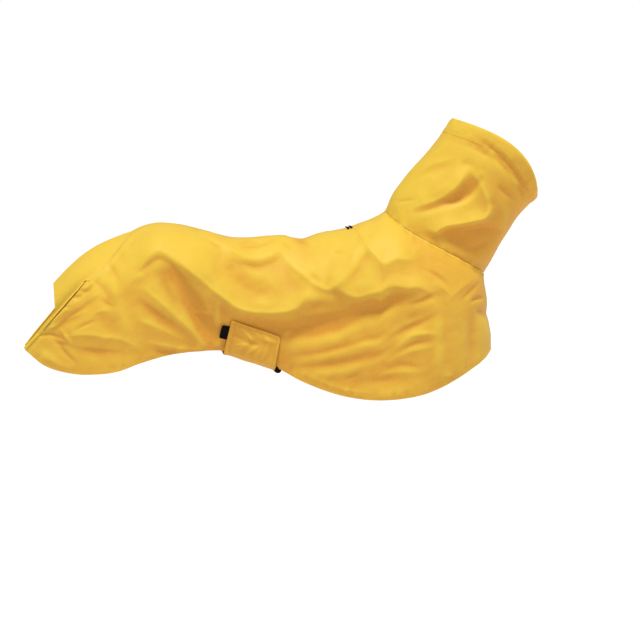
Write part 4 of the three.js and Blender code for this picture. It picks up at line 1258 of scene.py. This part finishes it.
class CoatColours(bpy.types.PropertyGroup):
    """Colours of the coat's cloth in painted light and painted shade, tape, thread, the dark rear seam with
    its painted shadow, and the floor.
    """

    # Painted light: the cloth's colour where it faces up and on its crests
    light: bpy.props.FloatVectorProperty(
        name="Light cloth", description="Cloth where it faces the light", subtype="COLOR",
        default=(0.695, 0.458, 0.046), min=0, max=1)
    # Painted shade: the cloth's colour in its hollows, on its sides and under ledges
    deep: bpy.props.FloatVectorProperty(
        name="Deep cloth", description="Cloth in its hollows and on its sides", subtype="COLOR",
        default=(0.595, 0.260, 0.028), min=0, max=1)
    thread: bpy.props.FloatVectorProperty(
        name="Thread", description="Sewing thread", subtype="COLOR",
        default=(0.66, 0.36, 0.04), min=0, max=1)
    black: bpy.props.FloatVectorProperty(
        name="Black tape", description="Label, tab, bindings and slit lips", subtype="COLOR",
        default=(0.0035, 0.0022, 0.0020), min=0, max=1)
    # A dark seam colour that also paints the shadow line along the rear edges
    brown: bpy.props.FloatVectorProperty(
        name="Rear seam", description="Dark seam along the rear edges", subtype="COLOR",
        default=(0.22, 0.055, 0.016), min=0, max=1)
    floor: bpy.props.FloatVectorProperty(
        name="Floor", description="Studio floor", subtype="COLOR",
        default=(0.88, 0.88, 0.88), min=0, max=1)


# Operators and what they make

STRAP_FACE = {}


def column_places(tail, back, neck):
    """Places of the coat's columns, in three stretches between the corners of its top line."""
    return np.concatenate((
        np.linspace(0, BACK_TIP, tail + 1)[:-1],
        np.linspace(BACK_TIP, NECK_BACK, back + 1)[:-1],
        np.linspace(NECK_BACK, NECK_FRONT, neck + 1),
    ))


class RAINCOAT_OT_body(bpy.types.Operator):
    """Make the two halves of the coat's body"""

    bl_idname = "raincoat.body"
    bl_label = "Coat body"

    def execute(self, context):
        wall = context.scene.coat_sizes.cloth_wall / MM
        weights = np.ones(BODY_ROWS)
        weights[:TOP_ROWS[0]] = TOP_ROWS[1]
        weights[-HEM_ROWS[0]:] = HEM_ROWS[1]
        places = column_places(*BODY_STEPS)
        shares, widths = even_shares(places, weights)
        # Painted light near the rump seam, the rear edge and the neck seam, and painted shade on the
        # shoulder, added to the cloth's painted light
        rump = (1 - smoothstep(places, BACK_TIP - 1.6, BACK_TIP + 1))[:, None]
        shoulder = smoothstep(places, NECK_BACK + 0.4, NECK_BACK + 2.8)[:, None]
        edge_painted_light = rump * edge_relief(widths, RUMP_PAINTED_LIGHT) + edge_relief(places, REAR_PAINTED_LIGHT)[:, None]
        edge_painted_light += shoulder * (edge_relief(widths, SHOULDER_PAINTED_SHADE) + edge_relief(widths, NECK_PAINTED_LIGHT))
        for name, node, side in (("coat_right", "body_right", -1), ("coat_left", "body_left", 1)):
            points, _ = coat_point(places[:, None], shares, side)
            points = points + corner_relief(places, shares, side)
            tone = with_painted_patches(painted_light_of(points, grid_normals(points) * side) + edge_painted_light, points, BODY_PAINTED_PATCHES)
            piece = cloth_piece(name, points, wall, nodes=[node], turned=side < 0, tone=tone)
        return {"FINISHED"}


class RAINCOAT_OT_collar(bpy.types.Operator):
    """Make the tall collar and the turned casing of its rim"""

    bl_idname = "raincoat.collar"
    bl_label = "Collar"

    def execute(self, context):
        sizes = context.scene.coat_sizes
        heights = np.linspace(2 * GAP_SHARE, CASING_START, COLLAR_ROWS)
        points, _ = collar_grid(COLLAR_HALF, heights, 0)
        tone = with_painted_patches(painted_light_of(points, ring_normals(points)), points, COLLAR_PAINTED_PATCHES)
        piece = cloth_piece(
            "collar_tube", points, sizes.cloth_wall / MM, nodes=["collar"], looped=True, tone=tone)
        rows = np.linspace(CASING_START, 1, CASING_ROWS)
        heights = np.concatenate(([CASING_START - 4 * GAP_SHARE], rows))
        points, _ = collar_grid(COLLAR_HALF, heights, CASING_OUT, casing=True)
        tone = painted_light_of(points, ring_normals(points))
        # Painted light on the two top rows of the rim
        tone[:, -2:] = 1
        rim = cloth_piece(
            "rim_casing", points, sizes.casing_wall / MM, nodes=["collar_rim_casing"], looped=True, tone=tone,
            rim=THICK_RIM)
        return {"FINISHED"}


def make_tail_cover(wall):
    """Tail cover with its front edge tucked under the coat."""
    across = np.linspace(-1, 1, TAIL_GRID[0])[:, None]
    back = (np.linspace(0, 1, TAIL_GRID[1]) ** 1.15)[None, :]
    points = tail_point(across, back)
    normals = grid_normals(points)
    normals = normals * np.where(normals[..., 2:].mean() < 0, -1, 1)
    drop = back * TAIL_DROP
    height = 0.6 * ripple(across * TAIL_DROP + 200, drop + 40, 22, 51) * smoothstep(back, 0.05, 0.3)
    height = height + edge_relief(drop, TAIL_SEAM_GROOVE)
    height = height + wave(across * 70 + 300, 7, 52) * edge_relief(drop, TAIL_PUCKERS)
    points = points + normals * height[..., None]
    under = unit(points[:, :1] - points[:, 2:3])
    tuck = [points[:, :1] + under * reach - normals[:, :1] * sink for reach, sink in TAIL_TUCK]
    points = np.concatenate(tuck + [points[:, 1:]], axis=1)
    seen = grid_normals(points)
    upward = seen[..., 2].mean() > 0
    # Painted light: the whole tail cover is lifted towards the painted light colour
    tone = np.clip(painted_light_of(points, seen if upward else -seen) + TAIL_PAINTED_LIGHT, 0, 1)
    piece = cloth_piece("tail_flap", points, wall, nodes=["tail_cover"], turned=not upward, tone=tone)


def rear_edge(h, side):
    """The coat's rear edge, its normal and the direction that leads away from it to the rear."""
    rim, normal = coat_point(0 * h, h, side)
    ahead, _ = coat_point(0 * h + 0.2, h, side)
    return rim, normal, unit(rim - ahead)


def make_rear_binding(name, node, side):
    """Binding of one rear edge and the dark seam along its upper part, which also paints the shadow line
    where the edge lies over the tail cover.
    """
    rim, normal, rearwards = rear_edge(np.linspace(0.02, 0.985, 110), side)
    grid = np.stack([rim + rearwards * reach + normal * lift for reach, lift in BINDING_PROFILE], 1)
    # Painted light: the binding takes the painted light colour all over, also where it lies in shade
    cloth_piece(name, grid, BINDING_WALL, nodes=[node], turned=side > 0, tone=np.ones(grid.shape[:2]))
    h = np.linspace(0.0, REAR_SEAM_SHARE, 80)
    rim, normal, rearwards = rear_edge(h, side)
    thin = REAR_SEAM_WIDTH * np.clip((1 - h / REAR_SEAM_SHARE) * 1.6, 0.1, 1)[:, None]
    rows = []
    for turn in np.linspace(0, math.pi, 7):
        reach = REAR_SEAM_REACH + math.cos(turn) * thin
        rows.append(rim + rearwards * reach + normal * (0.1 + math.sin(turn) * thin * 0.9))
    cloth_piece(
        name + "_seam", np.stack(rows, 1), REAR_SEAM_WALL, cloth="seam_and_shadow_thread", turned=side < 0,
        rim=THIN_RIM)


class RAINCOAT_OT_tail(bpy.types.Operator):
    """Make the tail cover and the bindings of the rear edges beside it"""

    bl_idname = "raincoat.tail"
    bl_label = "Tail cover"

    def execute(self, context):
        make_tail_cover(context.scene.coat_sizes.cloth_wall / MM)
        make_rear_binding("rear_tape_right", "rear_binding_right", -1)
        make_rear_binding("rear_tape_left", "rear_binding_left", 1)
        return {"FINISHED"}


def make_strap(wall):
    """Belly strap, whose face is kept for its stitches."""
    columns, rows = STRAP_GRID
    points = strap_points(columns, rows)
    normals = grid_normals(points)
    facing = -1 if normals[:, 5, 1].mean() > 0 else 1
    near = smoothstep(-points[..., 1], 20, 36)
    folds = on_side(STRAP_FOLDS, STRAP_FOLD_PLANE)
    height = STRAP_FOLD_SHARE * fold_field(folds, points[..., 0], points[..., 2], 61) * near
    w = np.linspace(0, STRAP_WIDTH, columns)[:, None]
    run = runs(points, 1)
    edge = np.minimum(STRAP_WIDTH - w, run)
    height += 0.35 * (1 - smoothstep(edge, 3.2, 4.6)) + edge_relief(edge, STRAP_EDGE_GROOVE)
    height += 0.5 * (1 - smoothstep(w, 5.0, 6.4)) + edge_relief(w, STRAP_SIDE_GROOVE)
    height += wave(run, PUCKER_CELL, 62) * edge_relief(w, STRAP_SIDE_PUCKERS)
    height += wave(w, PUCKER_CELL, 63) * edge_relief(run, STRAP_END_PUCKERS)
    height += 0.5 * ripple(w + 50, run + 20, 21, 64) * smoothstep(edge, 1, 9)
    points = points + normals * facing * height[..., None]
    seen = grid_normals(points) * facing
    # Painted shade: the strap keeps only part of its painted light
    piece = cloth_piece(
        "strap", points, wall, cloth="strap_cloth", nodes=["belly_strap"], turned=facing < 0,
        tone=painted_light_of(points, seen) * STRAP_PAINTED_SHADE, rim=THICK_RIM)
    STRAP_FACE["points"] = points
    STRAP_FACE["normals"] = seen


def square(columns, rows):
    """Coordinates of a grid over a square, from -1 to 1 in both directions."""
    return np.linspace(-1, 1, columns)[:, None], np.linspace(-1, 1, rows)[None, :]


def turned_from(x, z, across, up, tilt):
    """Side view places at offsets from one place, turned by a tilt."""
    cosine, sine = math.cos(tilt), math.sin(tilt)
    return x + across * cosine - up * sine, z + across * sine + up * cosine


def make_label():
    """Plain label that stands out of the strap's rear seam."""
    x, z, wide, tall, tilt = LABEL
    a, b = square(*LABEL_GRID)
    rounded = 1 - 0.08 * a ** 6 * b ** 6
    places = turned_from(x, z, a * rounded * wide / 2, b * rounded * tall / 2, tilt)
    grid, normal = on_panel(*places, -1, LABEL_OUT)
    lift = 1.1 * smoothstep(-a, 0.2, 1) + 0.25 * np.cos(b * 5) + 0.3 * bell(a + 1, 0.35)
    label = cloth_piece(
        "side_label", grid + normal * lift[..., None], LABEL_WALL, cloth="black_label", nodes=["strap_label"],
        turned=True, rim=0.35)


def make_tab():
    """Rounded end of a tape behind the hem at the strap's front corner."""
    x, z, wide, tall, tilt = TAB
    a, b = square(*TAB_GRID)
    across = a * np.sqrt(1 - 0.46 * b ** 2 * (b < 0)) * wide / 2
    up = b * np.sqrt(1 - 0.42 * a ** 2 * (b < 0)) * tall / 2
    place_x, place_z = turned_from(x, z + TAB_RISE, across, up, tilt)
    s, _ = panel_place(x, z + tall)
    depth = hem_point(s)[1] + TAB_DEPTH + 0.5 * a * b + 0.4 * b ** 2
    grid = np.stack([place_x, depth, place_z], -1)
    cloth_piece("side_tab", grid, TAB_WALL, cloth="black_tape", nodes=["strap_tab"], turned=True, rim=0.5)


class RAINCOAT_OT_strap(bpy.types.Operator):
    """Make the belly strap, its plain label and its black tab"""

    bl_idname = "raincoat.strap"
    bl_label = "Belly strap"

    def execute(self, context):
        make_strap(context.scene.coat_sizes.strap_wall / MM)
        make_label()
        make_tab()
        return {"FINISHED"}


class RAINCOAT_OT_slit(bpy.types.Operator):
    """Make the two bound lips of the harness slit across the back"""

    bl_idname = "raincoat.slit"
    bl_label = "Harness slit"

    def execute(self, context):
        for name, node, side in (
                ("slit_lip_rear", "harness_slit_lip_rear", -1),
                ("slit_lip_front", "harness_slit_lip_front", 1)):
            point, normal, distance = slit_line(SLIT_X + side * (SLIT_LIP / 2 + HALF_SEAM))
            half = SLIT_LIP / 2 * lerp(1, 0.35, (distance / (SLIT_LENGTH / 2)) ** 6)
            rows = []
            for place in np.linspace(-1, 1, 9):
                shift = point + np.array([1, 0, 0]) * (place * half)[:, None]
                crown = 0.5 + 0.7 * math.sqrt(1 - 0.94 * place ** 2) + 0.15 * wave(distance, 5, 81 + side)
                rows.append(shift + normal * crown[:, None])
            grid = np.stack(rows, 1)
            downward = grid_normals(grid)[..., 2].mean() <= 0
            cloth_piece(name, grid, LIP_WALL, cloth="black_tape", nodes=[node], turned=downward)
        return {"FINISHED"}


def make_neck_tape():
    """Tape over the inside of the neck seam."""
    neck = LINE_PLACES >= NECK_BACK
    marks = np.linspace(TOP_LENGTHS[neck][0], TOP_LENGTHS[neck][-1], COLLAR_HALF + 1)
    s = np.interp(marks, TOP_LENGTHS[neck], LINE_PLACES[neck])
    below, _ = coat_point(s, shares_below_top(s, TAPE_REACH), -1, -1.5)
    below = np.concatenate((below, below[-2:0:-1] * ACROSS))
    collar = collar_base(collar_lines(COLLAR_HALF), np.array([0.0, TAPE_REACH / COLLAR_HEIGHT]))
    forwards = np.roll(collar[:, 0], -1, axis=0) - np.roll(collar[:, 0], 1, axis=0)
    inwards = -unit(np.cross(forwards, collar[:, 1] - collar[:, 0]))
    middle = collar[:, 0] + inwards * 0.8
    above = collar[:, 1] + inwards * 1.8
    grid = np.stack([below, lerp(below, middle, 0.6), middle, lerp(middle, above, 0.5), above], 1)
    cloth_piece("neck_seam_tape", grid, TAPE_WALL, looped=True, turned=True, rim=THIN_RIM)


def make_casing_tape():
    """Tape over the inside of the seam between the collar and its rim."""
    heights = CASING_START + np.array([-4, 0, 3]) / COLLAR_HEIGHT
    points, _ = collar_grid(COLLAR_HALF, heights, -1.8)
    cloth_piece("casing_seam_tape", points, TAPE_WALL, looped=True, rim=THIN_RIM)


def make_back_tape():
    """Tape over the inside of the centre-back seam."""
    s = np.linspace(BACK_TIP + 0.02, NECK_BACK - 0.02, 200)
    near, _ = coat_point(s, shares_below_top(s, TAPE_REACH), -1, -1.6)
    spine = top_point(s) - np.array([0, 0, 2.4])
    between = lerp(near, spine, 0.6)
    grid = np.stack([near, between, spine, between * ACROSS, near * ACROSS], 1)
    cloth_piece("back_seam_tape", grid, TAPE_WALL, rim=THIN_RIM)


def stitch_lines():
    """Lines of points and normals along hem, neck, rim and strap on which stitches lie."""
    lines = []
    places = np.linspace(0.12, NECK_FRONT - 0.1, 900)
    neck = np.linspace(NECK_BACK + 0.05, NECK_FRONT - 0.05, 300)
    for s, reach, out in ((places, HEM_STITCH, 0.15), (neck, NECK_STITCH, 0.1)):
        h = shares_at(s, reach)
        lines += [coat_point(s, h, side, out) for side in (-1, 1)]
    heights = np.array([CASING_START + RIM_STITCH / COLLAR_HEIGHT, 1])
    points, normals = collar_grid(COLLAR_HALF, heights, 0.85, casing=True)
    lines.append((points[:, 0], normals[:, 0]))
    points, normals = STRAP_FACE["points"], STRAP_FACE["normals"]
    for column in STRAP_STITCH_COLUMNS:
        lines.append((points[column, STRAP_STITCH_ROWS], normals[column, STRAP_STITCH_ROWS]))
    return lines + [(points[4:72, 4], normals[4:72, 4])]


class RAINCOAT_OT_seams(bpy.types.Operator):
    """Make the tapes inside the seams and the stitches along hem, rim, strap and neck"""

    bl_idname = "raincoat.seams"
    bl_label = "Seams and stitches"

    def execute(self, context):
        make_neck_tape()
        make_casing_tape()
        make_back_tape()
        thread_piece("stitches", stitch_lines(), context.scene.coat_sizes.stitch / MM)
        return {"FINISHED"}


def make_floor(scene):
    """Wide pale floor, low enough to show no shadow in the picture."""
    maker = bmesh.new()
    bmesh.ops.create_grid(maker, x_segments=8, y_segments=8, size=60)
    for vert in maker.verts:
        vert.co.z = FLOOR_Z
    mesh = bpy.data.meshes.new("floor")
    maker.to_mesh(mesh)
    maker.free()
    floor = bpy.data.objects.new("floor", mesh)
    scene.collection.objects.link(floor)
    shader = Shader("studio_floor")
    place = shader.add("ShaderNodeTexCoord", output=3)
    cloud = shader.add("ShaderNodeTexNoise", None, place, Scale=1.5, Detail=2.0)
    pale = colour_of(scene.coat_colours.floor)
    colour = shader.blend(cloud, pale, shaded(pale, 0.985))
    mesh.materials.append(shader.finish({"Base Color": colour, "Roughness": 0.85}))


def make_air(scene):
    """World light that is white below the horizon and grey above it."""
    world = bpy.data.worlds.new("studio_air")
    world.use_nodes = True
    scene.world = world
    tree = world.node_tree
    air = tree.nodes["Background"]
    place = tree.nodes.new("ShaderNodeTexCoord")
    parts = tree.nodes.new("ShaderNodeSeparateXYZ")
    ramp = tree.nodes.new("ShaderNodeValToRGB")
    tree.links.new(place.outputs["Generated"], parts.inputs[0])
    tree.links.new(parts.outputs[2], ramp.inputs[0])
    tree.links.new(ramp.outputs[0], air.inputs["Color"])
    for stop, (height, grey) in zip(ramp.color_ramp.elements, AIR_STOPS):
        stop.position = height
        stop.color = (grey, grey, grey, 1)


def make_camera(scene):
    """Camera at the photograph's angle and scale."""
    camera = bpy.data.cameras.new("camera")
    camera.sensor_fit = "HORIZONTAL"
    camera.sensor_width = 36
    camera.lens = camera.sensor_width * CAMERA_DISTANCE / (PICTURE * PIXEL)
    camera.clip_end = 200
    eye = bpy.data.objects.new("camera", camera)
    eye.location = Vector((CAMERA_AIM + CAMERA_BACK * CAMERA_DISTANCE) * MM)
    eye.rotation_euler = Vector(CAMERA_BACK).to_track_quat("Z", "Y").to_euler()
    scene.collection.objects.link(eye)
    scene.camera = eye


class RAINCOAT_OT_stage(bpy.types.Operator):
    """Make the studio floor, the soft light and the camera"""

    bl_idname = "raincoat.stage"
    bl_label = "Studio"

    def execute(self, context):
        scene = context.scene
        make_floor(scene)
        for name, energy, angle, towards in LAMPS:
            sun = bpy.data.lights.new(name, "SUN")
            sun.energy = energy
            sun.angle = math.radians(angle)
            lamp = bpy.data.objects.new(name, sun)
            lamp.rotation_euler = Vector(towards).to_track_quat("Z", "Y").to_euler()
            scene.collection.objects.link(lamp)
        make_air(scene)
        make_camera(scene)
        scene.view_settings.view_transform = "Standard"
        return {"FINISHED"}


class RAINCOAT_PT_panel(bpy.types.Panel):
    """Lists the coat's sizes, colours and pieces"""

    bl_idname = "RAINCOAT_PT_panel"
    bl_label = "Dog Raincoat"
    bl_space_type = "VIEW_3D"
    bl_region_type = "UI"
    bl_category = "Raincoat"

    def draw(self, context):
        for group in (context.scene.coat_sizes, context.scene.coat_colours):
            for name in group.__annotations__:
                self.layout.prop(group, name)
        for operator in OPERATORS:
            self.layout.operator(operator.bl_idname)


OPERATORS = (
    RAINCOAT_OT_stage, RAINCOAT_OT_body, RAINCOAT_OT_collar, RAINCOAT_OT_tail, RAINCOAT_OT_strap,
    RAINCOAT_OT_slit, RAINCOAT_OT_seams,
)
CLASSES = (CoatSizes, CoatColours) + OPERATORS + (RAINCOAT_PT_panel,)


def register():
    for kind in CLASSES:
        bpy.utils.register_class(kind)
    bpy.types.Scene.coat_sizes = bpy.props.PointerProperty(type=CoatSizes)
    bpy.types.Scene.coat_colours = bpy.props.PointerProperty(type=CoatColours)


def unregister():
    del bpy.types.Scene.coat_sizes
    del bpy.types.Scene.coat_colours
    for kind in reversed(CLASSES):
        bpy.utils.unregister_class(kind)


def main():
    register()
    for operator in OPERATORS:
        group, name = operator.bl_idname.split(".")
        getattr(getattr(bpy.ops, group), name)()


if __name__ == "__main__":
    main()
